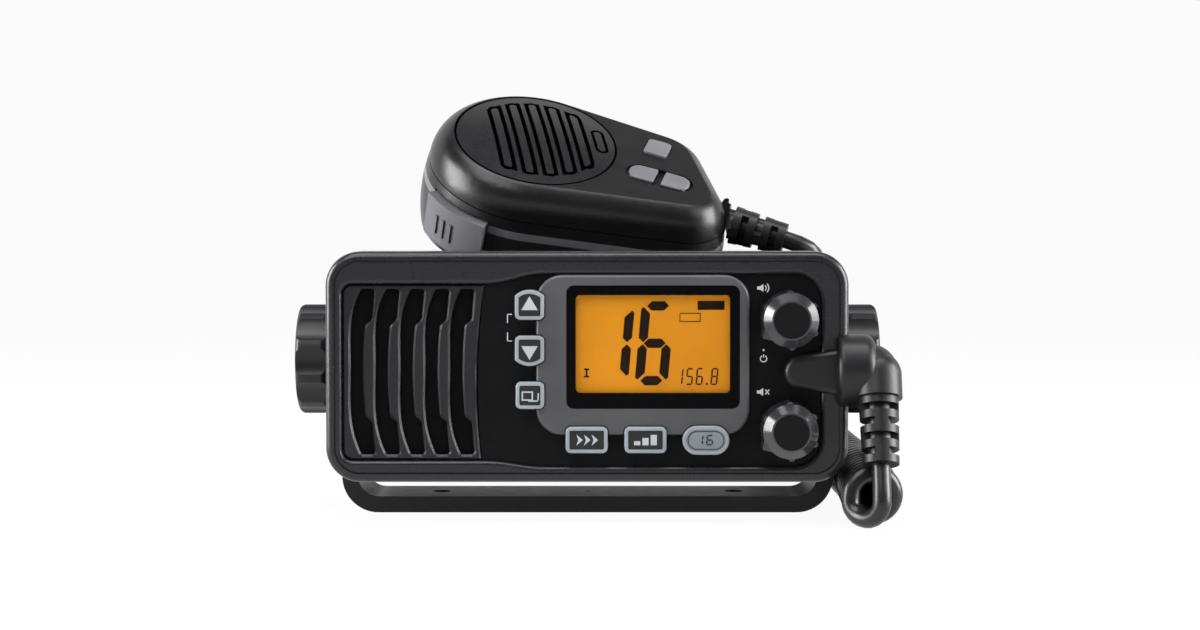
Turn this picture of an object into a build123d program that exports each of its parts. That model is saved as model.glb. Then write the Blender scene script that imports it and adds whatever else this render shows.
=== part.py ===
"""VHF marine radio with fist microphone, in a tilting U bracket.

Millimetres. +X is the viewer's right, -Y is the front, +Z is up. The origin lies on the table,
midway between the bracket's two mounting holes and straight below the tilt axis.
"""
from build123d import *
from math import atan, atan2, cos, degrees, pi, radians, sin, sqrt
import os

os.makedirs("parts", exist_ok=True)

# ---------------------------------------------------------------- driving dimensions
RUNNING_GAP = 0.3        # between bodies that move past each other
SEAT_GAP = 0.12          # between pieces that lie in a recess of the same body
THREAD_GAP = 0.07        # radial, round a screw or shaft that turns in its bore

# mounting bracket
TILT_AXIS_Z = 45.8
BRACKET_WIDTH = 148.4
STRAP_WIDTH = 29.0
STRAP_THICKNESS = 4.9
STRAP_CORNER_R = 11.0
BASE_HOLE_SPACING = 90.0
BASE_HOLE_D = 5.7
PILOT_HOLE_D = 2.0
PAD_R = 13.0
PAD_GAP = 2.3            # arm to chassis side, filled by the pad

# side knobs
SIDE_KNOB_R = 16.7
SIDE_KNOB_LENGTH = 12.4
SIDE_KNOB_HUB_R = 10.0
SIDE_KNOB_HUB_LENGTH = 3.0
SIDE_KNOB_FLUTES = 10
SIDE_KNOB_FLUTE_R = 9.6
SIDE_KNOB_FLUTE_DEPTH = 1.3
SIDE_WASHER_R = 9.0
SIDE_WASHER_T = 1.4
STUD_D = 5.0
STUD_IN_CHASSIS = 11.0
STUD_IN_KNOB = 9.0

# front panel
FRONT_SETBACK = 45.0     # rim plane ahead of the tilt axis
PANEL_W = 151.6
PANEL_H = 67.0
PANEL_R = 10.0
PANEL_DEPTH = 18.0
RIM_W = 2.5              # outer rim, as far as the groove inside it
RIM_ROUND = 2.2
GROOVE_W = 0.5
GROOVE_DEPTH = 1.0
ROLL_DEPTH = 0.3         # front of the rolled border between groove and mouth
ROLL_ROUND = 1.2
PANEL_WALL = 2.5
BORDER_LEFT = 4.7        # panel edge to the mouth
BORDER_RIGHT = 7.9
BORDER_TOP = 6.6         # at the controls; the mouth is lower at the speaker
BORDER_BOTTOM = 4.6
OPENING_LEFT_R = 3.0
OPENING_RIGHT_R = 8.0
STEP_LENGTH = 17.5       # the mouth's edges step outwards along this
FASCIA_DEPTH = 2.0
FASCIA_T = 2.3
LEDGE_T = 1.3
LEDGE_W = 1.0

# speaker grille
GRILLE_BELOW_MOUTH = 2.8     # its top under the mouth's top at the controls
GRILLE_ABOVE_MOUTH = 1.7
GRILLE_AHEAD = 0.3       # of the fascia
GRILLE_HOLLOW = 2.3      # its right edge is hollow by this
GRILLE_FOOT_BACK = 1.0   # lower end of that edge behind the upper end
GRILLE_TO_ISLAND = 14.85
GRILLE_TO_STEP = 0.1
GRILLE_PITCH = 7.22
SLOT_FROM_EDGE = 0.8
SLOT_FROM_MOUTH = 2.0    # at least, left of the outermost slot
SLOT_FROM_TOP = 1.5
SLOT_FROM_BOTTOM = 1.7
SLOT_W_END = 3.9
SLOT_BOW = 7.0           # bowed edge to the slot's outer right edge, at mid height
SLOT_JOG = 2.2
SLOT_JOG_BOW = 0.6
SLOT_JOG_FROM_TOP = 9.7
SLOT_JOG_FROM_BOTTOM = 10.2
SLOT_JOG_RAMP = 1.9
SLOT_LEAN = 0.7          # right edge draws in by this from the end to the jog
SLOT_BEVEL = 0.6
SLOT_ROUND = 1.0
SPEAKER_R = 19.8
SPEAKER_RIGHT_OF_MIDDLE = 1.9    # of the grille, at its hollow edge
SPEAKER_Z = -1.5
SPEAKER_DEPTH = 18.0
SPEAKER_BASKET = 5.3         # rim outside the magnet

# display island
ISLAND_W = 61.85
ISLAND_FROM_RIGHT = 20.8     # of the mouth
ISLAND_FROM_BOTTOM = 9.2
ISLAND_R = 7.6
ISLAND_RISE = 0.3        # ahead of the rim plane
ISLAND_ROUND = 1.1
WINDOW_W = 50.0
WINDOW_R = 2.2
WINDOW_T = 1.5
WINDOW_FROM_LEFT = 8.85      # of the island
WINDOW_FROM_TOP = 3.18
WINDOW_FROM_BOTTOM = 7.8
LCD_MARGIN = 1.9             # inside the window's sides
LCD_MARGIN_TOP = 1.8
LCD_MARGIN_BOTTOM = 3.7
LCD_T = 2.2

# front keys
SIDE_KEY_W = 8.5
SIDE_KEY_LEFT = 1.85         # centre left of the island's edge
UP_KEY_H = 8.7
UP_KEY_FROM_TOP = 8.8        # centre below the mouth's top
DOWN_KEY_H = 8.8
DOWN_KEY_DROP = 0.2          # centre below the middle of its neighbours
WATCH_KEY_W = 8.3
WATCH_KEY_H = 7.9
WATCH_KEY_LEFT = 1.75
WATCH_KEY_FROM_BOTTOM = 20.8
LOW_KEY_W = 12.2
LOW_KEY_H = 7.7
LOW_KEY_FROM_BOTTOM = 7.9    # centre above the mouth's bottom
SCAN_KEY_LEFT = 19.2         # centre left of the window's centre
CHANNEL_KEY_LEFT = 2.2
SIXTEEN_KEY_W = 13.6
SIXTEEN_KEY_H = 8.4
SIXTEEN_KEY_RIGHT = 15.3
SIXTEEN_KEY_DROP = 0.1
KEY_RISE = 1.5           # key top ahead of the rim plane
KEY_TRAVEL = 0.9
KEY_ROUND = 1.6
KEY_ARCH_R = 6.2
KEY_RIM_W = 1.1
KEY_INSET = 0.25
KEY_SIDE_GAP = 0.3
MAT_T = 1.5
BOARD_T = 1.6
BOARD_DEPTH = 11.0       # front face of the front circuit board

# control knobs
CONTROL_FROM_RIGHT = 9.5     # of the mouth
VOLUME_FROM_TOP = 13.0
SQUELCH_FROM_BOTTOM = 10.9
CONTROL_R = 8.2
CONTROL_LENGTH = 13.0
CONTROL_CAP_R = 5.05
CONTROL_CAP_T = 0.8
CONTROL_BEVEL = 2.6
CONTROL_POINTER = 212.0  # degrees, anticlockwise from +X as seen from the front
CONTROL_NUBS = 5
CONTROL_NUB_R = 1.0
SHAFT_R = 3.0
BUSHING_R = 3.9
CONTROL_BODY_R = 7.6

# rear chassis
CHASSIS_TOP = 26.0       # above the tilt axis
CHASSIS_BOTTOM = 30.0    # below the tilt axis
CHASSIS_LENGTH = 86.0
CHASSIS_WALL = 2.4
CHASSIS_REAR_WALL = 3.2
CHASSIS_R = 4.0
FLANGE_T = 2.5
FLANGE_GAP = 0.2
FIN_LENGTH = 14.0
FIN_T = 1.8
FIN_PITCH = 7.1
FINS = 9
FIN_FIRST_X = -12.0
SIDE_GROOVES = 3
GASKET_T = 0.8
GASKET_W = 2.4
CASE_SCREW_R = 3.0
CASE_SCREW_INSET = 5.4    # from the chassis side
MAIN_BOARD_Z = -12.0
SHIELD_LEFT = -20.0
SHIELD_RIGHT = 48.0
SHIELD_H = 12.0
SHIELD_T = 0.8
SHIELD_FRONT_GAP = 14.0
SHIELD_REAR_GAP = 28.0

# rear connectors
ANTENNA_X = -46.0
ANTENNA_Z = 6.0
ANTENNA_R = 7.9
ANTENNA_LENGTH = 16.0
POWER_GLAND_X = -46.0
SPEAKER_GLAND_X = -27.0
GLAND_Z = -17.0
POWER_GLAND_R = 6.0
SPEAKER_GLAND_R = 4.5
GLAND_LENGTH = 7.0

# cord outlet on the front panel
BOOT_TIP_IN = 13.9       # centre of its tip inside the panel's edge
BOOT_TIP_R = 4.9
BOOT_ROOT_IN = 3.8
BOOT_ROOT_R = 6.4
BOOT_Z = -1.4
BOOT_RISE = 3.4
COLLAR_R = 10.5
COLLAR_IN = 3.8
ELBOW_LENGTH = 7.6
ELBOW_DROP_R = 6.9
RELIEF_OUT = 8.1         # wire outside the panel's edge
RELIEF_TIP_Y = -56.0
RELIEF_TIP_Z = 18.6
RELIEF_RISE = 19.6
RELIEF_LEAN = 20.0       # degrees, top towards the radio
RELIEF_BANDS = 4
RELIEF_TIP_R = 5.3

# microphone, in its own frame: x to the cord end, y across, z out of its face
MIC_X = -16.3
MIC_Y = 15.0
MIC_LEAN_BACK = 33.1     # degrees
MIC_LEAN_SIDE = 9.0
MIC_YAW = 15.2
MIC_HEAD_R = 26.0
MIC_END_R = 8.0
MIC_END_FAR = (36.0, 11.0)
MIC_END_FAR_R = 12.0
MIC_END_NEAR = (50.0, -5.0)
MIC_FLARE = 6.3          # seam outline outside the face outline
MIC_BACK_FLARE = 7.4
MIC_SEAM = 10.0          # below the face
MIC_SEAM_T = 0.4
MIC_THICKNESS = 30.7     # at the grille's centre
MIC_BACK_SLOPE = 9.1     # degrees, thinner at the cord end
MIC_WALL = 2.6
MIC_BACK_ROUND = 3.5
MIC_GRILLE_R = 25.0
MIC_GRILLE_T = 1.4
MIC_GRILLE_DOME = 1.5
MIC_SLOTS = 6
MIC_SLOT_PITCH = 6.3
MIC_SLOT_W = 4.3
MIC_SLOT_FIRST = -11.1
MIC_SLOT_LEAN = 25.0
MIC_SLOT_CIRCLE_R = 21.5
MIC_BAR_W = 2.3
MIC_BAR_SHORT = 2.4      # shorter than its slot
MIC_KEY_SINGLE = (36.2, 14.2, 7.6, 8.4)
MIC_KEY_LEFT = (35.6, -2.0, 7.6, 7.2)
MIC_KEY_RIGHT = (46.2, -2.0, 7.6, 7.2)
MIC_KEY_TRAVEL = 0.7
MIC_KEY_DEPTH = 5.8
MIC_POCKET = (21.6, 9.6, 1.1)
MIC_BOARD_DEPTH = 8.0
MIC_BOARD_T = 1.4
MIC_CAPSULE_R = 5.0
MIC_RELIEF_DEPTH = 10.5
MIC_RELIEF_START = 61.5
MIC_RELIEF_LENGTH = 21.5
MIC_RELIEF_TIP_R = 4.9
PTT_FIRST = -136.0       # degrees round the head
PTT_LAST = -97.0
PTT_R = 35.7
PTT_T = 4.2
PTT_TOP = 13.4
PTT_HEIGHT = 15.5
PTT_TRAVEL = 3.5         # degrees
PTT_GAP = 0.45
PTT_FAR_GAP = 1.1        # at the end that swings in
PTT_ROUND = 1.8
PTT_HINGE = (-99.0, 30.6)    # degrees round the head, distance from its centre
PTT_BARREL_R = 2.0
PTT_PIN_R = 1.2
PTT_PIN_LENGTH = 1.0
STUD_U = -12.0
STUD_V = 2.0
STUD_HEAD_R = 6.5
STUD_NECK_R = 4.0
STUD_RISE = 5.2
MIC_SCREWS = ((-3.0, 20.0), (-3.0, -19.0), (44.0, 1.0))
MIC_SCREW_R = 2.4

# cord
WIRE_R = 2.7
COIL_R = 9.0
LEAD_DROP = (83.9, -61.6, 3.2)
LEAD_END = (80.5, -44.0, 3.2)
COIL_ROUTE = [
    (82.2, -50.5, 9.2), (82.6, -36, 9.2), (84.0, -16, 9.2), (84.0, 38, 9.3), (79, 80, 13),
    (50, 97, 30), (16, 98, 56), (-7, 88, 80.6), (-8, 58, 81.2), (-7.4, 43.5, 81.1),
]
TAIL_ROUTE = [
    (-3.5, 43.9, 76.7), (-2.8, 34.5, 75.2), (5.5, 26.5, 74.9), (19, 25.2, 74.9),
    (36, 30.5, 74.9), (51, 38.5, 74.9), (64, 36.5, 74.9), (71, 25.5, 75.0),
    (72.0, 14.3, 75.3),
]

# ---------------------------------------------------------------- derived places
FRONT_Y = -FRONT_SETBACK
BACK_Y = FRONT_Y + PANEL_DEPTH
CHASSIS_REAR_Y = BACK_Y + CHASSIS_LENGTH
ARM_OUTER = BRACKET_WIDTH / 2
ARM_INNER = ARM_OUTER - STRAP_THICKNESS
CHASSIS_HALF = ARM_INNER - PAD_GAP
CHASSIS_TOP_Z = TILT_AXIS_Z + CHASSIS_TOP
CHASSIS_BOTTOM_Z = TILT_AXIS_Z - CHASSIS_BOTTOM
SIDE_KNOB_X = ARM_OUTER + SIDE_WASHER_T + RUNNING_GAP
LEDGE_DEPTH = FASCIA_DEPTH + FASCIA_T
POCKET_DEPTH = LEDGE_DEPTH + LEDGE_T
FLANGE_DEPTH = PANEL_DEPTH - FLANGE_T
GASKET_DEPTH = FLANGE_DEPTH - GASKET_T
WINDOW_DEPTH = -ISLAND_RISE
LCD_DEPTH = WINDOW_DEPTH + WINDOW_T + SEAT_GAP
HOLDER_DEPTH = LCD_DEPTH + LCD_T
MAT_DEPTH = BOARD_DEPTH - MAT_T
KEY_BACK = MAT_DEPTH - KEY_TRAVEL - SEAT_GAP
CONTROL_BACK = FASCIA_DEPTH - RUNNING_GAP
CONTROL_FRONT = CONTROL_BACK - CONTROL_LENGTH
OPENING_LEFT = BORDER_LEFT - PANEL_W / 2
OPENING_RIGHT = PANEL_W / 2 - BORDER_RIGHT
OPENING_TOP = PANEL_H / 2 - BORDER_TOP
OPENING_BOTTOM = BORDER_BOTTOM - PANEL_H / 2
ISLAND_RIGHT = OPENING_RIGHT - ISLAND_FROM_RIGHT
ISLAND_LEFT = ISLAND_RIGHT - ISLAND_W
ISLAND_TOP = OPENING_TOP - SEAT_GAP
ISLAND_BOTTOM = OPENING_BOTTOM + ISLAND_FROM_BOTTOM
WINDOW_TOP = ISLAND_TOP - WINDOW_FROM_TOP
WINDOW_BOTTOM = ISLAND_BOTTOM + WINDOW_FROM_BOTTOM
WINDOW_X = ISLAND_LEFT + WINDOW_FROM_LEFT + WINDOW_W / 2
WINDOW_Z = (WINDOW_TOP + WINDOW_BOTTOM) / 2
WINDOW_H = WINDOW_TOP - WINDOW_BOTTOM
LCD_W = WINDOW_W - 2 * LCD_MARGIN
LCD_H = WINDOW_H - LCD_MARGIN_TOP - LCD_MARGIN_BOTTOM
LCD_Z = WINDOW_Z + (LCD_MARGIN_BOTTOM - LCD_MARGIN_TOP) / 2
GRILLE_TOP = OPENING_TOP - GRILLE_BELOW_MOUTH
GRILLE_BOTTOM = OPENING_BOTTOM + GRILLE_ABOVE_MOUTH
GRILLE_EDGE_TOP = ISLAND_LEFT - GRILLE_TO_ISLAND
GRILLE_EDGE_MIDDLE = GRILLE_EDGE_TOP - GRILLE_HOLLOW
GRILLE_EDGE_BOTTOM = GRILLE_EDGE_TOP - GRILLE_FOOT_BACK
STEP_LEFT = GRILLE_EDGE_TOP + GRILLE_TO_STEP
STEP_RIGHT = STEP_LEFT + STEP_LENGTH
SLOT_RIGHT = GRILLE_EDGE_MIDDLE - SLOT_FROM_EDGE
SLOT_TOP = GRILLE_TOP - SLOT_FROM_TOP
SLOT_BOTTOM = GRILLE_BOTTOM + SLOT_FROM_BOTTOM
SLOT_JOG_TOP = SLOT_TOP - SLOT_JOG_FROM_TOP
SLOT_JOG_BOTTOM = SLOT_BOTTOM + SLOT_JOG_FROM_BOTTOM
SLOTS_ROOM = SLOT_RIGHT - SLOT_BOW - SLOT_FROM_MOUTH - OPENING_LEFT
GRILLE_SLOTS = 1 + int(SLOTS_ROOM / GRILLE_PITCH)
SPEAKER_X = (OPENING_LEFT + GRILLE_EDGE_MIDDLE) / 2 + SPEAKER_RIGHT_OF_MIDDLE
MAGNET_R = SPEAKER_R - SPEAKER_BASKET
UP_KEY_Z = OPENING_TOP - UP_KEY_FROM_TOP
WATCH_KEY_Z = OPENING_BOTTOM + WATCH_KEY_FROM_BOTTOM
DOWN_KEY_Z = (UP_KEY_Z + WATCH_KEY_Z) / 2 - DOWN_KEY_DROP
LOW_KEY_Z = OPENING_BOTTOM + LOW_KEY_FROM_BOTTOM
KEY_UP = (ISLAND_LEFT - SIDE_KEY_LEFT, UP_KEY_Z, SIDE_KEY_W, UP_KEY_H)
KEY_DOWN = (ISLAND_LEFT - SIDE_KEY_LEFT, DOWN_KEY_Z, SIDE_KEY_W, DOWN_KEY_H)
KEY_WATCH = (ISLAND_LEFT - WATCH_KEY_LEFT, WATCH_KEY_Z, WATCH_KEY_W, WATCH_KEY_H)
KEY_SCAN = (WINDOW_X - SCAN_KEY_LEFT, LOW_KEY_Z, LOW_KEY_W, LOW_KEY_H)
KEY_CHANNEL = (WINDOW_X - CHANNEL_KEY_LEFT, LOW_KEY_Z, LOW_KEY_W, LOW_KEY_H)
KEY_SIXTEEN = (WINDOW_X + SIXTEEN_KEY_RIGHT, LOW_KEY_Z - SIXTEEN_KEY_DROP, SIXTEEN_KEY_W, SIXTEEN_KEY_H)
CONTROL_X = OPENING_RIGHT - CONTROL_FROM_RIGHT
VOLUME_Z = OPENING_TOP - VOLUME_FROM_TOP
SQUELCH_Z = OPENING_BOTTOM + SQUELCH_FROM_BOTTOM
ELBOW_X = PANEL_W / 2
ELBOW_Z = TILT_AXIS_Z - 1.0
RELIEF_TIP = (ELBOW_X + RELIEF_OUT, RELIEF_TIP_Y, RELIEF_TIP_Z)
MIC_SLOPE = sin(radians(MIC_BACK_SLOPE)) / cos(radians(MIC_BACK_SLOPE))


# ---------------------------------------------------------------- helpers
def front(depth):
    """Plane that faces the viewer, a depth behind the rim, centred on the panel."""
    return Plane(origin=(0, FRONT_Y + depth, TILT_AXIS_Z), x_dir=(1, 0, 0), z_dir=(0, -1, 0))


def slab(sketch, near, far):
    """Solid between two depths behind the rim plane."""
    return extrude(front(far) * sketch, amount=far - near)


def rounded(left, right, bottom, top, radius):
    """Rounded rectangle by its four edges."""
    shape = RectangleRounded(right - left, top - bottom, radius)
    return Pos((left + right) / 2, (bottom + top) / 2) * shape


def block(x0, x1, y0, y1, z0, z1):
    """Box by its six faces."""
    centre = Pos((x0 + x1) / 2, (y0 + y1) / 2, (z0 + z1) / 2)
    return centre * Box(x1 - x0, y1 - y0, z1 - z0)


def rod_x(radius, x0, x1, y=0.0, z=TILT_AXIS_Z):
    """Round bar along X."""
    plane = Plane(origin=(x0, y, z), x_dir=(0, 1, 0), z_dir=(1, 0, 0))
    return extrude(plane * Circle(radius), amount=x1 - x0)


def rod_front(radius, x, z, near, far):
    """Round bar square to the front panel, between two depths."""
    return slab(Pos(x, z) * Circle(radius), near, far)


def turned(profile, x, z):
    """Revolve (radius, depth) points about an axis square to the front panel."""
    axis = Axis((x, 0, TILT_AXIS_Z + z), (0, 1, 0))
    points = [(x + r, FRONT_Y + depth, TILT_AXIS_Z + z) for r, depth in profile]
    face = make_face(Polyline(*points, close=True))
    return revolve(face, axis, 360)


def relief(root_r, tip_r, length):
    """Slotted strain relief from z = 0 at its root to its tip, solid round the wire."""
    body = Pos(0, 0, length / 2) * Cone(root_r, tip_r, length)
    pitch = length / (RELIEF_BANDS + 0.5)
    slot = pitch * 0.48
    for i in range(RELIEF_BANDS):
        z = pitch * (i + 0.75)
        ring = Cylinder(root_r + 1, slot) - Cylinder(WIRE_R + 0.8, slot)
        web = Box(2 * root_r + 4, tip_r * 0.75, slot) if i % 2 == 0 else Box(tip_r * 0.75, 2 * root_r + 4, slot)
        body -= Pos(0, 0, z) * (ring - web)
    return body


def tube(points, radius):
    """Round tube along straight runs joined by the largest arcs that the runs allow."""
    places = [Vector(*p) for p in points]
    radii = []
    for a, b, c in zip(places, places[1:], places[2:]):
        turn = radians((b - a).get_angle(c - b))
        radii.append(0.45 * min((b - a).length, (c - b).length) / (sin(turn / 2) / cos(turn / 2)))
    path = FilletPolyline(*places, radius=radii)
    profile = Plane(origin=places[0], z_dir=places[1] - places[0]) * Circle(radius)
    solid = sweep(profile, path=path)
    print("arc radii", [round(r, 1) for r in radii])
    print("volume over section times length", round(solid.volume / (pi * radius**2 * path.length), 4))
    return solid


# ---------------------------------------------------------------- bracket and side knobs
def mounting_bracket():
    top = TILT_AXIS_Z + STRAP_WIDTH / 2
    plane = Plane(origin=(0, STRAP_WIDTH / 2, 0), x_dir=(1, 0, 0), z_dir=(0, -1, 0))
    outer = Pos(0, top / 2) * Rectangle(2 * ARM_OUTER, top)
    inner = Pos(0, STRAP_THICKNESS + top / 2) * Rectangle(2 * ARM_INNER, top)
    strap = extrude(plane * (outer - inner), amount=STRAP_WIDTH)
    long_edges = strap.edges().filter_by(Axis.Y).group_by(Axis.Z)
    strap = fillet(long_edges[0], STRAP_CORNER_R)
    long_edges = strap.edges().filter_by(Axis.Y).filter_by(lambda e: abs(e.center().Z - STRAP_THICKNESS) < 0.01)
    inner_corners = long_edges.filter_by(lambda e: abs(e.center().X) > ARM_INNER - 0.01)
    strap = fillet(inner_corners, STRAP_CORNER_R - STRAP_THICKNESS)
    side = Rectangle(STRAP_WIDTH, 2 * TILT_AXIS_Z) + Pos(0, TILT_AXIS_Z) * Circle(STRAP_WIDTH / 2)
    strap &= extrude(Plane.YZ * side, amount=ARM_OUTER, both=True)
    strap -= rod_x(STUD_D / 2 + RUNNING_GAP, -ARM_OUTER, ARM_OUTER)
    for x in (-BASE_HOLE_SPACING / 2, BASE_HOLE_SPACING / 2):
        strap -= Pos(x, 0, 0) * Cylinder(BASE_HOLE_D / 2, 3 * STRAP_THICKNESS)
    strap -= Pos(0, 0, 0) * Cylinder(PILOT_HOLE_D / 2, 3 * STRAP_THICKNESS)
    return strap


def ring_pair(radius, x0, x1):
    bore = STUD_D / 2 + RUNNING_GAP
    right = rod_x(radius, x0, x1) - rod_x(bore, x0, x1)
    return [right, mirror(right, about=Plane.YZ)]


def side_knob():
    """Right-hand scalloped knob; the left one is its mirror image."""
    x0 = SIDE_KNOB_X
    x1 = x0 + SIDE_KNOB_LENGTH
    grip = rod_x(SIDE_KNOB_R, x0 + SIDE_KNOB_HUB_LENGTH, x1)
    rims = grip.edges().filter_by(GeomType.CIRCLE).sort_by(Axis.X)
    grip = fillet([rims[0], rims[-1]], 1.8)
    flute_at = SIDE_KNOB_R - SIDE_KNOB_FLUTE_DEPTH + SIDE_KNOB_FLUTE_R
    for i in range(SIDE_KNOB_FLUTES):
        angle = 2 * pi * i / SIDE_KNOB_FLUTES
        y = flute_at * cos(angle)
        z = TILT_AXIS_Z + flute_at * sin(angle)
        grip -= rod_x(SIDE_KNOB_FLUTE_R, x0, x1 + 1, y, z)
    hub = rod_x(SIDE_KNOB_HUB_R, x0, x0 + SIDE_KNOB_HUB_LENGTH)
    dish = rod_x(SIDE_KNOB_R * 0.62, x1 - 0.9, x1)
    return grip + hub - dish - rod_x(STUD_D / 2, x0, x0 + STUD_IN_KNOB)


def knob_stud():
    shank = rod_x(STUD_D / 2, CHASSIS_HALF - STUD_IN_CHASSIS, SIDE_KNOB_X + STUD_IN_KNOB)
    return chamfer(shank.edges().filter_by(GeomType.CIRCLE).sort_by(Axis.X)[0], 0.7)


# ---------------------------------------------------------------- rear chassis
def rear_chassis():
    top = CHASSIS_TOP_Z
    bottom = CHASSIS_BOTTOM_Z
    half = CHASSIS_HALF
    body = block(-half, half, BACK_Y, CHASSIS_REAR_Y, bottom, top)
    body = fillet(body.edges().filter_by(Axis.Y), CHASSIS_R)
    rear = body.faces().sort_by(Axis.Y)[-1].edges()
    body = fillet(rear, 2.0)
    flange = rounded(-PANEL_W / 2 + PANEL_WALL + FLANGE_GAP, PANEL_W / 2 - PANEL_WALL - FLANGE_GAP,
                     -PANEL_H / 2 + PANEL_WALL + FLANGE_GAP, PANEL_H / 2 - PANEL_WALL - FLANGE_GAP,
                     PANEL_R - PANEL_WALL - FLANGE_GAP)
    body += slab(flange, FLANGE_DEPTH, PANEL_DEPTH)
    wall = CHASSIS_WALL
    cavity_front = FRONT_Y + FLANGE_DEPTH
    cavity = block(-half + wall, half - wall, cavity_front, CHASSIS_REAR_Y - CHASSIS_REAR_WALL,
                   bottom + wall, top - wall)
    boss_x = half - STUD_IN_CHASSIS - 2.5
    cavity -= rod_x(STUD_D / 2 + 3.5, boss_x, half)
    cavity -= rod_x(STUD_D / 2 + 3.5, -half, -boss_x)
    for z in (TILT_AXIS_Z + MAIN_BOARD_Z - 3.0,):
        for side in (-1, 1):
            x_in = side * (half - wall - 3.0)
            x_out = side * (half - wall)
            cavity -= block(min(x_in, x_out), max(x_in, x_out), BACK_Y + 12, CHASSIS_REAR_Y - 14, z - 3, z + 3)
    body -= cavity
    for side in (-1, 1):
        stud = rod_x(STUD_D / 2 + THREAD_GAP, half - STUD_IN_CHASSIS - RUNNING_GAP, half)
        body -= stud if side > 0 else mirror(stud, about=Plane.YZ)
    fin_low = bottom + 2
    fin_high = top - 2
    for i in range(FINS):
        x = FIN_FIRST_X + i * FIN_PITCH
        fin = block(x - FIN_T / 2, x + FIN_T / 2, CHASSIS_REAR_Y - 1, CHASSIS_REAR_Y + FIN_LENGTH, fin_low, fin_high)
        tips = fin.faces().sort_by(Axis.Y)[-1].edges().filter_by(Axis.X)
        body += fillet(tips, 4.0)
    groove_r = 1.0
    for i in range(SIDE_GROOVES):
        x = (i - (SIDE_GROOVES - 1) / 2) * half * 0.55
        groove = Pos(x, (BACK_Y + CHASSIS_REAR_Y) / 2, top) * Rot(90, 0, 0) * Cylinder(groove_r, CHASSIS_LENGTH * 0.7)
        body -= groove
    rear_wall = CHASSIS_REAR_WALL + 2
    for x, z, r in ((ANTENNA_X, ANTENNA_Z, ANTENNA_R * 0.8 + SEAT_GAP), (POWER_GLAND_X, GLAND_Z, POWER_GLAND_R * 0.7),
                    (SPEAKER_GLAND_X, GLAND_Z, SPEAKER_GLAND_R * 0.7)):
        hole = Plane(origin=(x, CHASSIS_REAR_Y + 1, TILT_AXIS_Z + z), x_dir=(1, 0, 0), z_dir=(0, -1, 0))
        body -= extrude(hole * Circle(r), amount=rear_wall)
    for x, z in case_screw_places():
        hole = Plane(origin=(x, CHASSIS_REAR_Y, z), x_dir=(1, 0, 0), z_dir=(0, -1, 0))
        body -= extrude(hole * Circle(CASE_SCREW_R / 2), amount=CHASSIS_REAR_WALL - 1)
    return body


def case_screw_places():
    x = CHASSIS_HALF - CASE_SCREW_INSET
    high = CHASSIS_TOP_Z - CASE_SCREW_INSET
    low = CHASSIS_BOTTOM_Z + CASE_SCREW_INSET
    return [(-x, high), (x, high), (-x, low), (x, low)]


def rear_rod(radius, x, z, y0, y1):
    plane = Plane(origin=(x, y0, z), x_dir=(1, 0, 0), z_dir=(0, 1, 0))
    return extrude(plane * Circle(radius), amount=y1 - y0)


def case_screws():
    screws = []
    for x, z in case_screw_places():
        head = rear_rod(CASE_SCREW_R, x, z, CHASSIS_REAR_Y, CHASSIS_REAR_Y + 2.0)
        head = fillet(head.edges().filter_by(GeomType.CIRCLE).sort_by(Axis.Y)[-1], 0.7)
        shank = rear_rod(CASE_SCREW_R / 2, x, z, CHASSIS_REAR_Y - CHASSIS_REAR_WALL + 1, CHASSIS_REAR_Y)
        recess = rear_rod(CASE_SCREW_R * 0.45, x, z, CHASSIS_REAR_Y + 1.0, CHASSIS_REAR_Y + 2.0)
        screws.append(head + shank - recess)
    return screws


def antenna_connector():
    """Round threaded socket with a four-cornered flange and a recessed centre contact."""
    z = TILT_AXIS_Z + ANTENNA_Z
    y = CHASSIS_REAR_Y
    flange_plane = Plane(origin=(ANTENNA_X, y, z), x_dir=(1, 0, 0), z_dir=(0, 1, 0))
    flange = extrude(flange_plane * RectangleRounded(25.4, 25.4, 3), amount=2.2)
    for sx in (-1, 1):
        for sz in (-1, 1):
            flange -= rear_rod(1.6, ANTENNA_X + sx * 9.1, z + sz * 9.1, y, y + 3)
    barrel = rear_rod(ANTENNA_R, ANTENNA_X, z, y + 2.2, y + 2.2 + ANTENNA_LENGTH)
    shank = rear_rod(ANTENNA_R * 0.8, ANTENNA_X, z, y - CHASSIS_REAR_WALL - 2, y)
    mouth = rear_rod(ANTENNA_R * 0.74, ANTENNA_X, z, y + 8, y + 3 + ANTENNA_LENGTH)
    contact = rear_rod(2.7, ANTENNA_X, z, y + 7, y + 0.5 + ANTENNA_LENGTH)
    contact -= rear_rod(2.0, ANTENNA_X, z, y + 9, y + 1 + ANTENNA_LENGTH)
    return flange + barrel + shank - mouth + contact


def gland(x, radius):
    """Rubber lead inlet: flange, tapered nose and a bore for the lead."""
    z = TILT_AXIS_Z + GLAND_Z
    y = CHASSIS_REAR_Y
    flange = rear_rod(radius, x, z, y, y + 1.8)
    nose_plane = Plane(origin=(x, y + 1.8, z), x_dir=(1, 0, 0), z_dir=(0, 1, 0))
    nose = extrude(nose_plane * Circle(radius * 0.8), amount=GLAND_LENGTH, taper=6)
    shank = rear_rod(radius * 0.7, x, z, y - CHASSIS_REAR_WALL - 1.5, y)
    return flange + nose + shank - rear_rod(radius * 0.42, x, z, y - 8, y + 3 + GLAND_LENGTH)


def main_circuit_board():
    half = CHASSIS_HALF - CHASSIS_WALL - SEAT_GAP
    z = TILT_AXIS_Z + MAIN_BOARD_Z
    return block(-half, half, BACK_Y + 8, CHASSIS_REAR_Y - 12, z, z + BOARD_T)


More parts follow.
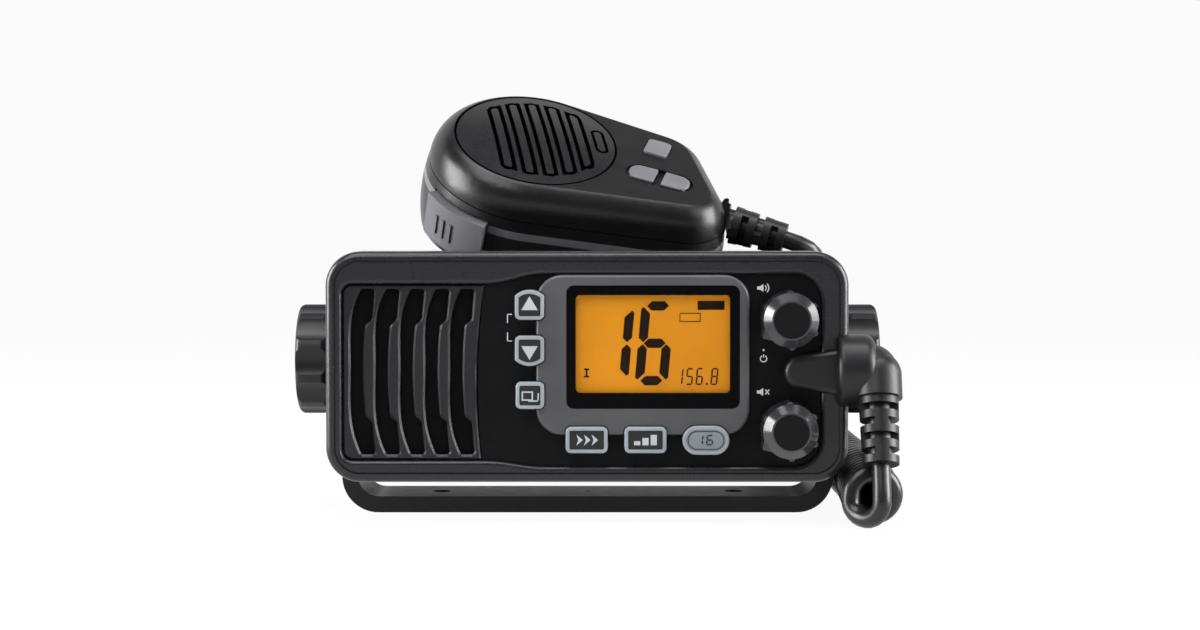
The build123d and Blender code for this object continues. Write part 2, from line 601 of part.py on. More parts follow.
def rf_shield():
    z = TILT_AXIS_Z + MAIN_BOARD_Z + BOARD_T
    y0 = BACK_Y + SHIELD_FRONT_GAP
    y1 = CHASSIS_REAR_Y - SHIELD_REAR_GAP
    inside = block(SHIELD_LEFT + SHIELD_T, SHIELD_RIGHT - SHIELD_T, y0 + SHIELD_T, y1 - SHIELD_T, z, z + SHIELD_H - SHIELD_T)
    return block(SHIELD_LEFT, SHIELD_RIGHT, y0, y1, z, z + SHIELD_H) - inside


# ---------------------------------------------------------------- front panel
def opening(grow=0.0):
    """Mouth of the front panel, low round the speaker and taller round the controls."""
    left, right = OPENING_LEFT - grow, OPENING_RIGHT + grow
    top, bottom = OPENING_TOP + grow, OPENING_BOTTOM - grow
    high, low = GRILLE_TOP + grow, GRILLE_BOTTOM - grow
    upper_step = Spline((STEP_LEFT, high), (STEP_RIGHT, top), tangents=((1, 0), (1, 0)))
    lower_step = Spline((STEP_RIGHT, bottom), (STEP_LEFT, low), tangents=((-1, 0), (-1, 0)))
    right_side = Polyline((STEP_RIGHT, top), (right, top), (right, bottom), (STEP_RIGHT, bottom))
    left_side = Polyline((STEP_LEFT, low), (left, low), (left, high), (STEP_LEFT, high))
    face = make_face(upper_step + right_side + lower_step + left_side)
    corners = face.vertices().group_by(Axis.X)
    face = fillet(corners[-1], OPENING_RIGHT_R + grow)
    return fillet(face.vertices().group_by(Axis.X)[0], OPENING_LEFT_R + grow)


def inset_panel(inset):
    return RectangleRounded(PANEL_W - 2 * inset, PANEL_H - 2 * inset, PANEL_R - inset)


def front_panel():
    body = slab(inset_panel(0), 0, PANEL_DEPTH)
    body = fillet(body.faces().sort_by(Axis.Y)[0].edges(), RIM_ROUND)
    body -= slab(inset_panel(RIM_W), -1, ROLL_DEPTH)
    body -= slab(inset_panel(RIM_W) - inset_panel(RIM_W + GROOVE_W), ROLL_DEPTH, GROOVE_DEPTH)
    body -= slab(opening(), ROLL_DEPTH, LEDGE_DEPTH)
    roll = [e for e in body.edges() if on_roll(e.bounding_box())]
    body = fillet(roll, ROLL_ROUND)
    body -= slab(opening(-LEDGE_W), LEDGE_DEPTH, POCKET_DEPTH)
    body -= slab(inset_panel(PANEL_WALL + GASKET_W), POCKET_DEPTH, PANEL_DEPTH)
    return body - slab(inset_panel(PANEL_WALL), GASKET_DEPTH, PANEL_DEPTH)


def on_roll(box):
    """Whether an edge with this box bounds the mouth on the front of the rolled border."""
    flat = box.size.Y < 0.01 and abs(box.min.Y - FRONT_Y - ROLL_DEPTH) < 0.01
    across = box.min.X > OPENING_LEFT - 0.1 and box.max.X < OPENING_RIGHT + 0.1
    low = TILT_AXIS_Z + OPENING_BOTTOM - 0.1
    return flat and across and box.min.Z > low and box.max.Z < TILT_AXIS_Z + OPENING_TOP + 0.1


def front_gasket():
    ring = inset_panel(PANEL_WALL + FLANGE_GAP) - inset_panel(PANEL_WALL + GASKET_W)
    return slab(ring, GASKET_DEPTH, FLANGE_DEPTH)


def grille_outline(grow=0.0):
    """Panel of the speaker grille, with its hollow right edge."""
    left = OPENING_LEFT + SEAT_GAP - grow * 8
    top = GRILLE_TOP - SEAT_GAP + grow * 8
    bottom = GRILLE_BOTTOM + SEAT_GAP - grow * 8
    edge_top = GRILLE_EDGE_TOP + grow
    edge_bottom = GRILLE_EDGE_BOTTOM + grow
    curve = ThreePointArc((edge_top, top), (GRILLE_EDGE_MIDDLE + grow, (top + bottom) / 2), (edge_bottom, bottom))
    rest = Polyline((edge_bottom, bottom), (left, bottom), (left, top), (edge_top, top))
    return make_face(curve + rest)


def grille_slot(right):
    """Sound slot: a full bow on its left, and a right edge that jogs inwards and back."""
    middle = (SLOT_TOP + SLOT_BOTTOM) / 2
    reach = SLOT_TOP - middle
    far = right - SLOT_BOW
    shoulder = SLOT_BOW - SLOT_W_END
    inner = right - SLOT_LEAN - SLOT_JOG
    bow = Spline((right - SLOT_W_END, SLOT_BOTTOM), (far + 0.35 * shoulder, middle - 0.78 * reach), (far, middle + 0.1 * reach),
                 (far + 0.3 * shoulder, middle + 0.78 * reach), (right - SLOT_W_END, SLOT_TOP))
    start, end = SLOT_JOG_TOP + SLOT_JOG_RAMP, SLOT_JOG_TOP - SLOT_JOG_RAMP
    upper = Spline((right - SLOT_LEAN, start), (inner, end), tangents=((0, -1), (0, -1)))
    below, above = SLOT_JOG_BOTTOM - SLOT_JOG_RAMP, SLOT_JOG_BOTTOM + SLOT_JOG_RAMP
    lower = Spline((inner, above), (right - SLOT_LEAN, below), tangents=((0, -1), (0, -1)))
    waist = ThreePointArc((inner, end), (inner - SLOT_JOG_BOW, (end + above) / 2), (inner, above))
    head = Polyline((right - SLOT_W_END, SLOT_TOP), (right, SLOT_TOP), (right - SLOT_LEAN, start))
    foot = Polyline((right - SLOT_LEAN, below), (right, SLOT_BOTTOM), (right - SLOT_W_END, SLOT_BOTTOM))
    face = make_face(bow + head + upper + waist + lower + foot)
    ends = face.vertices().group_by(Axis.Y)
    return fillet(ends[0] + ends[-1], SLOT_ROUND)


def speaker_grille():
    panel = slab(grille_outline(), FASCIA_DEPTH - GRILLE_AHEAD, LEDGE_DEPTH)
    left_corners = panel.edges().filter_by(Axis.Y).group_by(Axis.X)[0]
    panel = fillet(left_corners, OPENING_LEFT_R - SEAT_GAP)
    for i in range(GRILLE_SLOTS):
        panel -= slab(grille_slot(SLOT_RIGHT - i * GRILLE_PITCH), FASCIA_DEPTH - 1, LEDGE_DEPTH + 1)
    return chamfer(panel.faces().sort_by(Axis.Y)[0].edges(), SLOT_BEVEL)


def speaker_membrane():
    inset = LEDGE_W + 0.2
    sheet = rounded(OPENING_LEFT + inset, GRILLE_EDGE_MIDDLE - 0.6, GRILLE_BOTTOM + inset, GRILLE_TOP - inset, 1.5)
    return slab(sheet, LEDGE_DEPTH, LEDGE_DEPTH + 0.5)


def speaker_frame():
    d0 = LEDGE_DEPTH + 0.5
    d1 = d0 + SPEAKER_DEPTH
    profile = [(SPEAKER_R - 2, d0), (SPEAKER_R, d0), (SPEAKER_R, d0 + 1.6), (SPEAKER_R - 1.6, d0 + 1.8),
               (MAGNET_R + 1, d0 + 8), (MAGNET_R + 1, d0 + 9), (MAGNET_R, d0 + 9), (MAGNET_R, d1),
               (0, d1), (0, d0 + 10), (MAGNET_R * 0.5, d0 + 10), (MAGNET_R * 0.5, d0 + 8.4),
               (MAGNET_R * 0.85, d0 + 7.4)]
    return turned(profile, SPEAKER_X, SPEAKER_Z)


def speaker_cone():
    d0 = LEDGE_DEPTH + 0.9
    rim = SPEAKER_R - 3.2
    profile = [(rim, d0), (rim - 1.4, d0), (5.0, d0 + 4.6), (0, d0 + 3.4), (0, d0 + 4.0), (4.6, d0 + 5.2),
               (4.6, d0 + 8.2), (5.2, d0 + 8.2), (5.2, d0 + 5.4), (rim - 1.2, d0 + 0.6), (rim, d0 + 0.6)]
    return turned(profile, SPEAKER_X, SPEAKER_Z)


def key_outline(key, grow=0.0):
    """Outline of a front key, by name of its tuple."""
    x, z, w, h = key
    if key is KEY_SIXTEEN:
        return Pos(x, z) * SlotOverall(w + 2 * grow, h + 2 * grow)
    shape = RectangleRounded(w + 2 * grow, h + 2 * grow, KEY_ROUND + grow)
    if key is KEY_UP:
        shape &= Pos(0, h / 2 - KEY_ARCH_R) * Circle(KEY_ARCH_R + grow) + Pos(0, -h / 2) * Rectangle(3 * w, h)
    if key is KEY_DOWN:
        shape &= Pos(0, KEY_ARCH_R - h / 2) * Circle(KEY_ARCH_R + grow) + Pos(0, h / 2) * Rectangle(3 * w, h)
    return Pos(x, z) * shape


FRONT_KEYS = {"key_up": KEY_UP, "key_down": KEY_DOWN, "key_watch": KEY_WATCH, "key_scan": KEY_SCAN,
              "key_channel": KEY_CHANNEL, "key_sixteen": KEY_SIXTEEN}


def key_holes(solid):
    for key in FRONT_KEYS.values():
        solid -= slab(key_outline(key, KEY_SIDE_GAP), -5, MAT_DEPTH)
    return solid


def front_key(key):
    body = slab(key_outline(key), -KEY_RISE, KEY_BACK)
    body = fillet(body.faces().sort_by(Axis.Y)[0].edges(), 0.5)
    return body - slab(key_outline(key, -KEY_RIM_W), -KEY_RISE, -KEY_RISE + KEY_INSET)


def island_outline(grow=0.0):
    return rounded(ISLAND_LEFT - grow, ISLAND_RIGHT + grow, ISLAND_BOTTOM - grow, ISLAND_TOP + grow, ISLAND_R + grow)


def fascia_plate():
    plate = slab(opening(-SEAT_GAP), FASCIA_DEPTH, LEDGE_DEPTH)
    plate -= slab(grille_outline(0.3), FASCIA_DEPTH - 1, LEDGE_DEPTH + 1)
    plate -= slab(island_outline(SEAT_GAP), FASCIA_DEPTH - 1, LEDGE_DEPTH + 1)
    plate = key_holes(plate)
    for z in (VOLUME_Z, SQUELCH_Z):
        plate -= rod_front(BUSHING_R, CONTROL_X, z, FASCIA_DEPTH - 1, LEDGE_DEPTH + 1)
    return plate


def display_bezel():
    body = slab(island_outline(), -ISLAND_RISE, LEDGE_DEPTH)
    body = fillet(body.faces().sort_by(Axis.Y)[0].edges(), ISLAND_ROUND)
    window = Pos(WINDOW_X, WINDOW_Z) * RectangleRounded(WINDOW_W + 2 * SEAT_GAP, WINDOW_H + 2 * SEAT_GAP, WINDOW_R)
    body -= slab(window, -ISLAND_RISE - 1, WINDOW_DEPTH + WINDOW_T)
    lcd = Pos(WINDOW_X, LCD_Z) * RectangleRounded(LCD_W + 2 * SEAT_GAP, LCD_H + 2 * SEAT_GAP, 1.2)
    body -= slab(lcd, 0, LEDGE_DEPTH + 1)
    return key_holes(body)


def display_window():
    return slab(Pos(WINDOW_X, WINDOW_Z) * RectangleRounded(WINDOW_W, WINDOW_H, WINDOW_R),
                WINDOW_DEPTH, WINDOW_DEPTH + WINDOW_T)


def lcd_panel():
    return slab(Pos(WINDOW_X, LCD_Z) * RectangleRounded(LCD_W, LCD_H, 1.0), LCD_DEPTH, HOLDER_DEPTH)


def lcd_backlight():
    return slab(Pos(WINDOW_X, LCD_Z) * RectangleRounded(LCD_W, LCD_H, 1.0), HOLDER_DEPTH, BOARD_DEPTH)


def keypad_mat():
    right = KEY_SIXTEEN[0] + KEY_SIXTEEN[2] / 2 + 1.5
    left = KEY_UP[0] - KEY_UP[2] / 2 - 1.5
    sheet = rounded(left, right, OPENING_BOTTOM + LEDGE_W + 0.6, OPENING_TOP - LEDGE_W - 0.6, 2)
    sheet -= Pos(WINDOW_X, LCD_Z) * Rectangle(LCD_W + 1, LCD_H + 1)
    return slab(sheet, MAT_DEPTH, BOARD_DEPTH)


def front_circuit_board():
    wall = PANEL_WALL + GASKET_W + SEAT_GAP
    left = SPEAKER_X + SPEAKER_R + 0.5
    board = rounded(left, PANEL_W / 2 - wall, -PANEL_H / 2 + wall, PANEL_H / 2 - wall, PANEL_R - wall + 1)
    return slab(board, BOARD_DEPTH, BOARD_DEPTH + BOARD_T)


# ---------------------------------------------------------------- controls
def control_body(z):
    """Rotary control on the board: can and threaded bushing with its nut."""
    can = rod_front(CONTROL_BODY_R, CONTROL_X, z, POCKET_DEPTH + 1.0, BOARD_DEPTH)
    bushing = rod_front(BUSHING_R - SEAT_GAP, CONTROL_X, z, FASCIA_DEPTH - 2.8, POCKET_DEPTH + 1.0)
    nut = slab(Pos(CONTROL_X, z) * RegularPolygon(BUSHING_R + 1.7, 6), FASCIA_DEPTH - 1.8, FASCIA_DEPTH)
    bore = rod_front(SHAFT_R + THREAD_GAP, CONTROL_X, z, -20, BOARD_DEPTH - 1.5)
    return can + bushing + nut - bore


def control_shaft(z):
    return rod_front(SHAFT_R, CONTROL_X, z, CONTROL_FRONT + 3.5, BOARD_DEPTH - 1.5 - RUNNING_GAP)


def control_knob(z):
    """Skirted knob: bevelled front, grip nubs, a pointer nose and a seat for its cap."""
    far = CONTROL_BACK
    near = CONTROL_FRONT
    core_r = CONTROL_CAP_R + SEAT_GAP
    profile = [(0, far), (CONTROL_R, far), (CONTROL_R - 0.3, near + CONTROL_BEVEL), (core_r + 0.5, near),
               (core_r, near), (core_r, near + CONTROL_CAP_T), (0, near + CONTROL_CAP_T)]
    knob = turned(profile, CONTROL_X, z)
    nose = (Pos(CONTROL_X, z) * Rot(0, 0, CONTROL_POINTER) * Pos(CONTROL_R - 0.6, 0)
            * Rot(0, 0, 45) * RectangleRounded(3.0, 3.0, 0.5))
    knob += slab(nose, near + CONTROL_BEVEL, far)
    reach = CONTROL_R - 0.6 * CONTROL_NUB_R
    for i in range(CONTROL_NUBS):
        angle = radians(CONTROL_POINTER + (i + 1) * 360 / (CONTROL_NUBS + 1))
        nub = rod_front(CONTROL_NUB_R, CONTROL_X + reach * cos(angle), z + reach * sin(angle),
                        near + CONTROL_BEVEL + 0.3, far)
        knob += nub
    knob -= rod_front(BUSHING_R + 2.3, CONTROL_X, z, FASCIA_DEPTH - 3.1, far + 1)
    return knob - rod_front(SHAFT_R, CONTROL_X, z, near + 3.5, far)


def control_cap(z):
    near = CONTROL_FRONT
    return rod_front(CONTROL_CAP_R, CONTROL_X, z, near, near + CONTROL_CAP_T)


# ---------------------------------------------------------------- cord outlet and cord
def half_barrel():
    """Front half of the collar, ahead of the rim plane."""
    barrel = rod_x(COLLAR_R, ELBOW_X - COLLAR_IN, ELBOW_X, FRONT_Y + 1.6, ELBOW_Z)
    return fillet(barrel.edges().filter_by(GeomType.CIRCLE).sort_by(Axis.X)[0], 2.0)


def cord_boot(panel):
    tip = Pos(ELBOW_X - BOOT_TIP_IN, BOOT_Z) * Circle(BOOT_TIP_R)
    root = Pos(ELBOW_X - BOOT_ROOT_IN, BOOT_Z) * Circle(BOOT_ROOT_R)
    tongue = slab(make_hull(tip.edges() + root.edges()), -BOOT_RISE, FASCIA_DEPTH)
    tongue = fillet(tongue.faces().sort_by(Axis.Y)[0].edges(), 1.8)
    keep = block(0, ELBOW_X, FRONT_Y - 2 * COLLAR_R, FRONT_Y + FASCIA_DEPTH, 0, 2 * TILT_AXIS_Z)
    return (tongue + half_barrel()) & keep - panel


def cord_strain_relief():
    barrel = rod_x(COLLAR_R, ELBOW_X, ELBOW_X + ELBOW_LENGTH, FRONT_Y + 1.6, ELBOW_Z)
    barrel = fillet(barrel.edges().filter_by(GeomType.CIRCLE).sort_by(Axis.X)[-1], 3.2)
    tip = Vector(*RELIEF_TIP)
    rise = Vector(0, sin(radians(RELIEF_LEAN)), cos(radians(RELIEF_LEAN)))
    root = tip + rise * RELIEF_RISE
    sleeve = relief(ELBOW_DROP_R - 1.1, RELIEF_TIP_R, RELIEF_RISE)
    sleeve = Plane(origin=root, x_dir=(1, 0, 0), z_dir=-rise) * sleeve
    drop = Plane(origin=root, x_dir=(1, 0, 0), z_dir=rise) * Pos(0, 0, 3.5) * Cylinder(ELBOW_DROP_R, 7.0)
    knee_at = root + rise * 7.0
    knee = Pos(knee_at.X, knee_at.Y, knee_at.Z) * Sphere(ELBOW_DROP_R)
    bend = Pos(ELBOW_X + ELBOW_LENGTH - 2.0, FRONT_Y + 0.6, ELBOW_Z - 1.0) * Sphere(COLLAR_R - 1.6)
    bend &= block(ELBOW_X, ELBOW_X + 3 * COLLAR_R, FRONT_Y - 2 * COLLAR_R, FRONT_Y + 2 * COLLAR_R, 0, 2 * TILT_AXIS_Z)
    return barrel + drop + knee + bend + sleeve


# ---------------------------------------------------------------- microphone, in its own frame
def mic_outline(grow):
    head = Circle(MIC_HEAD_R + grow)
    far = Pos(*MIC_END_FAR) * Circle(MIC_END_FAR_R + grow)
    near = Pos(*MIC_END_NEAR) * Circle(MIC_END_R + grow)
    return make_hull(head.edges() + far.edges() + near.edges())


def mic_prism(grow, low, high):
    return extrude(Pos(0, 0, low) * mic_outline(grow), amount=high - low)


def back_plane(depth=0.0):
    """Plane of the microphone's back, sloping up to the cord end; z points out of the back."""
    normal = Vector(sin(radians(MIC_BACK_SLOPE)), 0, -cos(radians(MIC_BACK_SLOPE)))
    return Plane(origin=Vector(0, 0, -MIC_THICKNESS) - normal * depth, x_dir=(0, 1, 0), z_dir=normal)


def back_spot(u, v, depth=0.0):
    """Frame on the microphone's back at (u, v), z pointing out."""
    plane = back_plane(depth)
    return Plane(origin=plane.origin + Vector(u, v, u * MIC_SLOPE), x_dir=(0, 1, 0), z_dir=plane.z_dir)


def mic_front_shell():
    steps = ((0.0, 0.0), (-2.4, 3.3), (-6.0, 5.4), (-MIC_SEAM, MIC_FLARE))
    shell = loft([Pos(0, 0, z) * mic_outline(g) for z, g in steps])
    shell -= mic_prism(0.6, -MIC_SEAM, -MIC_GRILLE_T - 2.0)
    shell -= Pos(0, 0, 0) * Cylinder(MIC_GRILLE_R + SEAT_GAP, 2 * MIC_GRILLE_T)
    shell -= Pos(0, 0, -MIC_GRILLE_T - 1) * Cylinder(MIC_CAPSULE_R + 1.2, 4)
    length, width, depth = MIC_POCKET
    middle = (MIC_KEY_LEFT[0] + MIC_KEY_RIGHT[0]) / 2
    shell -= Pos(middle, MIC_KEY_LEFT[1], 0) * extrude(SlotOverall(length, width), amount=depth, both=True)
    for key in (MIC_KEY_SINGLE, MIC_KEY_LEFT, MIC_KEY_RIGHT):
        shell -= extrude(mic_key_outline(key, KEY_SIDE_GAP), amount=MIC_SEAM, both=True)
    return shell


def mic_key_outline(key, grow=0.0):
    x, y, w, h = key
    return Pos(x, y) * RectangleRounded(w + 2 * grow, h + 2 * grow, 1.4 + grow)


def mic_key(key, rise):
    body = Pos(0, 0, -MIC_KEY_DEPTH) * extrude(mic_key_outline(key), amount=MIC_KEY_DEPTH + rise)
    return fillet(body.faces().sort_by(Axis.Z)[-1].edges(), 0.45)


def ptt_sector(inner, outer, first, last, low, high):
    """Piece of a ring round the microphone's head."""
    a, b, m = radians(first), radians(last), radians((first + last) / 2)

    def at(r, angle):
        return (r * cos(angle), r * sin(angle))

    wire = (ThreePointArc(at(outer, a), at(outer, m), at(outer, b)) + Line(at(outer, b), at(inner, b))
            + ThreePointArc(at(inner, b), at(inner, m), at(inner, a)) + Line(at(inner, a), at(outer, a)))
    return extrude(Pos(0, 0, low) * make_face(wire), amount=high - low)


def mic_back_shell():
    top = -MIC_SEAM - MIC_SEAM_T
    deep = -MIC_THICKNESS - 12
    steps = ((top, MIC_FLARE), (top - 8, MIC_BACK_FLARE), (top - 17, MIC_BACK_FLARE - 0.2), (deep, 3.2))
    shell = loft([Pos(0, 0, z) * mic_outline(g) for z, g in steps])
    below = extrude(back_plane() * Rectangle(300, 300), amount=60)
    shell -= below
    back = shell.faces().sort_by(Axis.Z)[0]
    shell = fillet(back.edges(), MIC_BACK_ROUND)
    cavity = mic_prism(2.4, deep, top) - extrude(back_plane(MIC_WALL + 1.4) * Rectangle(300, 300), amount=80)
    wall = ptt_sector(PTT_R - PTT_T - 4.6, PTT_R + 4, PTT_FIRST - 6, PTT_LAST + 6, -PTT_TOP - PTT_HEIGHT - 5, top)
    shell -= cavity - wall
    gap = PTT_GAP
    shell -= ptt_sector(PTT_R - PTT_T - 1.9, PTT_R + 4, PTT_FIRST - degrees(PTT_FAR_GAP / PTT_R),
                        PTT_LAST + degrees(gap / PTT_R), -PTT_TOP - PTT_HEIGHT - gap, -PTT_TOP + gap)
    shell -= ptt_hinge(PTT_BARREL_R + RUNNING_GAP, gap)
    shell -= ptt_hinge(PTT_PIN_R + THREAD_GAP, PTT_PIN_LENGTH + RUNNING_GAP)
    for u, v in MIC_SCREWS:
        shell -= back_spot(u, v, 2.6) * Pos(0, 0, 5) * Cylinder(MIC_SCREW_R + 0.3, 10)
    return shell


def mic_screws():
    screws = []
    for u, v in MIC_SCREWS:
        head = back_spot(u, v, 2.6) * Pos(0, 0, 0.75) * Cylinder(MIC_SCREW_R, 1.5)
        recess = back_spot(u, v, 2.6) * Pos(0, 0, 1.3) * Cylinder(MIC_SCREW_R * 0.4, 0.5)
        screws.append(head - recess)
    return screws


def mic_seam_gasket():
    low = -MIC_SEAM - MIC_SEAM_T
    return mic_prism(MIC_FLARE - 0.5, low, -MIC_SEAM) - mic_prism(2.4, low, -MIC_SEAM)


def mic_grille():
    """Domed grille disc with leaning sound slots; a bar stands in each slot."""
    dome_r = (MIC_GRILLE_R**2 + MIC_GRILLE_DOME**2) / (2 * MIC_GRILLE_DOME)
    disc = Pos(0, 0, -MIC_GRILLE_T / 2 + 1) * Cylinder(MIC_GRILLE_R, MIC_GRILLE_T + 2)
    disc &= Pos(0, 0, MIC_GRILLE_DOME - dome_r) * Sphere(dome_r)
    floor = -MIC_GRILLE_T + 0.5
    for i in range(MIC_SLOTS):
        x = MIC_SLOT_FIRST + i * MIC_SLOT_PITCH
        length = 2 * sqrt(MIC_SLOT_CIRCLE_R**2 - x**2)
        spot = Rot(0, 0, MIC_SLOT_LEAN) * Pos(x, 0, floor) * Rot(0, 0, 90)
        ring = SlotOverall(length, MIC_SLOT_W) - SlotOverall(length - MIC_BAR_SHORT, MIC_BAR_W)
        disc -= extrude(spot * ring, amount=6)
    return disc


def mic_circuit_board():
    z = -MIC_BOARD_DEPTH
    return mic_prism(0.3, z - MIC_BOARD_T, z)


def mic_key_mat():
    z = -MIC_BOARD_DEPTH
    region = Pos(45, 0, z) * Box(42, 80, 10)
    return mic_prism(0.0, z, -MIC_KEY_DEPTH - MIC_KEY_TRAVEL - SEAT_GAP) & region


def mic_capsule():
    z = -MIC_BOARD_DEPTH
    return Pos(0, 0, (z - MIC_GRILLE_T - 0.3) / 2) * Cylinder(MIC_CAPSULE_R, MIC_BOARD_DEPTH - MIC_GRILLE_T - 0.3)


def mic_hanger_stud():
    neck = back_spot(STUD_U, STUD_V) * Pos(0, 0, STUD_RISE / 2) * Cylinder(STUD_NECK_R, STUD_RISE)
    head = back_spot(STUD_U, STUD_V) * Pos(0, 0, STUD_RISE - 1.1) * Cylinder(STUD_HEAD_R, 2.2)
    return neck + fillet(head.edges().filter_by(GeomType.CIRCLE), 0.6)


def mic_strain_relief():
    start = Plane(origin=(MIC_RELIEF_START, 0, -MIC_RELIEF_DEPTH), x_dir=(0, 1, 0), z_dir=(1, 0, 0))
    collar = start * Pos(0, 0, -0.8) * Cone(8.6, 7.4, 4.4)
    sleeve = start * relief(6.3, MIC_RELIEF_TIP_R, MIC_RELIEF_LENGTH)
    body = mic_prism(MIC_BACK_FLARE + 0.15, -60, 10)
    return collar + sleeve - body


def ptt_hinge(radius, beyond):
    """Round bar on the talk lever's hinge axis, a length beyond the lever at both ends."""
    angle, reach = radians(PTT_HINGE[0]), PTT_HINGE[1]
    middle = -PTT_TOP - PTT_HEIGHT / 2
    return Pos(reach * cos(angle), reach * sin(angle), middle) * Cylinder(radius, PTT_HEIGHT + 2 * beyond)


def ptt_lever():
    low = -PTT_TOP - PTT_HEIGHT
    lever = ptt_sector(PTT_R - PTT_T, PTT_R, PTT_FIRST, PTT_LAST, low, -PTT_TOP)
    outer = lever.faces().sort_by(lambda f: f.center().length)[-1].edges()
    lever = fillet(outer, PTT_ROUND)
    middle = (PTT_FIRST + PTT_LAST) / 2 - 4.0
    for i in (-1, 0, 1):
        angle = middle + i * 5.0
        lever += ptt_sector(PTT_R - 0.5, PTT_R + 0.6, angle - 0.8, angle + 0.8, low + 4.5, -PTT_TOP - 4.5)
    return lever + ptt_hinge(PTT_BARREL_R, 0) + ptt_hinge(PTT_PIN_R, PTT_PIN_LENGTH)


def mic_pose(height):
    """Frame of the microphone with its grille centre at a height above the table."""
    back, side, yaw = radians(MIC_LEAN_BACK), radians(MIC_LEAN_SIDE), radians(MIC_YAW)
    normal = Vector(sin(side), -cos(side) * sin(back), cos(side) * cos(back))
    level = Vector(cos(side), sin(side) * sin(back), -sin(side) * cos(back))
    along = level * cos(yaw) - normal.cross(level) * sin(yaw)
    return Plane(origin=(MIC_X, MIC_Y, height), x_dir=along, z_dir=normal)


def microphone():
    """Every piece of the microphone, lowered until its back rests just above the chassis."""
    pieces = {
        "mic_front_shell": mic_front_shell(),
        "mic_back_shell": mic_back_shell(),
        "mic_seam_gasket": mic_seam_gasket(),
        "mic_grille": mic_grille(),
        "mic_circuit_board": mic_circuit_board(),
        "mic_key_mat": mic_key_mat(),
        "mic_capsule": mic_capsule(),
        "mic_hanger_stud": mic_hanger_stud(),
        "mic_strain_relief": mic_strain_relief(),
        "mic_screws": Compound(mic_screws()),
        "ptt_lever": ptt_lever(),
        "mic_key_single": mic_key(MIC_KEY_SINGLE, 0.8),
        "mic_key_left": mic_key(MIC_KEY_LEFT, 0.5),
        "mic_key_right": mic_key(MIC_KEY_RIGHT, 0.5),
    }
    lowest = (mic_pose(0) * pieces["mic_back_shell"]).bounding_box().min.Z
    pose = mic_pose(CHASSIS_TOP_Z + RUNNING_GAP - lowest)
    print("microphone frame", pose)
    reach = MIC_RELIEF_START + MIC_RELIEF_LENGTH
    tip = [tuple(pose.from_local_coords((x, 0, -MIC_RELIEF_DEPTH))) for x in (reach + 3 * WIRE_R, reach)]
    return {name: pose * piece for name, piece in pieces.items()}, tip


# ---------------------------------------------------------------- assembly
def assemble():
    knob = side_knob()
    stud = knob_stud()
    panel = front_panel()
    nodes = {
        "mounting_bracket": mounting_bracket(),
        "bracket_pads": ring_pair(PAD_R, ARM_INNER - PAD_GAP + RUNNING_GAP, ARM_INNER),
        "knob_washers": ring_pair(SIDE_WASHER_R, ARM_OUTER, ARM_OUTER + SIDE_WASHER_T),
        "bracket_knob_right": knob,
        "bracket_knob_left": mirror(knob, about=Plane.YZ),
        "knob_stud_right": stud,
        "knob_stud_left": mirror(stud, about=Plane.YZ),
        "rear_chassis": rear_chassis(),
        "case_screws": case_screws(),
        "antenna_connector": antenna_connector(),
        "power_gland": gland(POWER_GLAND_X, POWER_GLAND_R),
        "speaker_gland": gland(SPEAKER_GLAND_X, SPEAKER_GLAND_R),
        "main_circuit_board": main_circuit_board(),
        "rf_shield": rf_shield(),
        "front_panel": panel,
        "front_gasket": front_gasket(),
        "fascia_plate": fascia_plate(),
        "speaker_grille": speaker_grille(),
        "speaker_membrane": speaker_membrane(),
        "speaker_frame": speaker_frame(),
        "speaker_cone": speaker_cone(),
        "display_bezel": display_bezel(),
        "display_window": display_window(),
        "lcd_panel": lcd_panel(),
        "lcd_backlight": lcd_backlight(),
        "keypad_mat": keypad_mat(),
        "front_circuit_board": front_circuit_board(),
        "volume_control": control_body(VOLUME_Z),
        "volume_shaft": control_shaft(VOLUME_Z),
        "volume_knob": control_knob(VOLUME_Z),
        "volume_knob_cap": control_cap(VOLUME_Z),
        "squelch_control": control_body(SQUELCH_Z),
        "squelch_shaft": control_shaft(SQUELCH_Z),
        "squelch_knob": control_knob(SQUELCH_Z),
        "squelch_knob_cap": control_cap(SQUELCH_Z),
        "cord_boot": cord_boot(panel),
        "cord_strain_relief": cord_strain_relief(),
    }
    for name, key in FRONT_KEYS.items():
        nodes[name] = front_key(key)
    mic, cord_entry = microphone()
    nodes.update(mic)
    nodes["mic_cord_lead"] = tube([RELIEF_TIP, LEAD_DROP, LEAD_END], WIRE_R)
    nodes["mic_cord_coil"] = tube(COIL_ROUTE, COIL_R)
    nodes["mic_cord_tail"] = tube(TAIL_ROUTE + cord_entry, WIRE_R)
    print("cord meets the microphone at", cord_entry)
    return nodes


for name, shape in assemble().items():
    solids = shape if isinstance(shape, list) else shape.solids()
    node = Compound(list(solids)) if len(solids) > 1 else solids[0]
    node.label = name
    export_step(node, f"parts/{name}.step")
    box = node.bounding_box()
    print(name, len(solids), "solids", [round(v, 1) for v in (*box.min, *box.max)], round(node.volume, 1))
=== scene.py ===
"""VHF marine radio with fist microphone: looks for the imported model. Metres, row frame."""

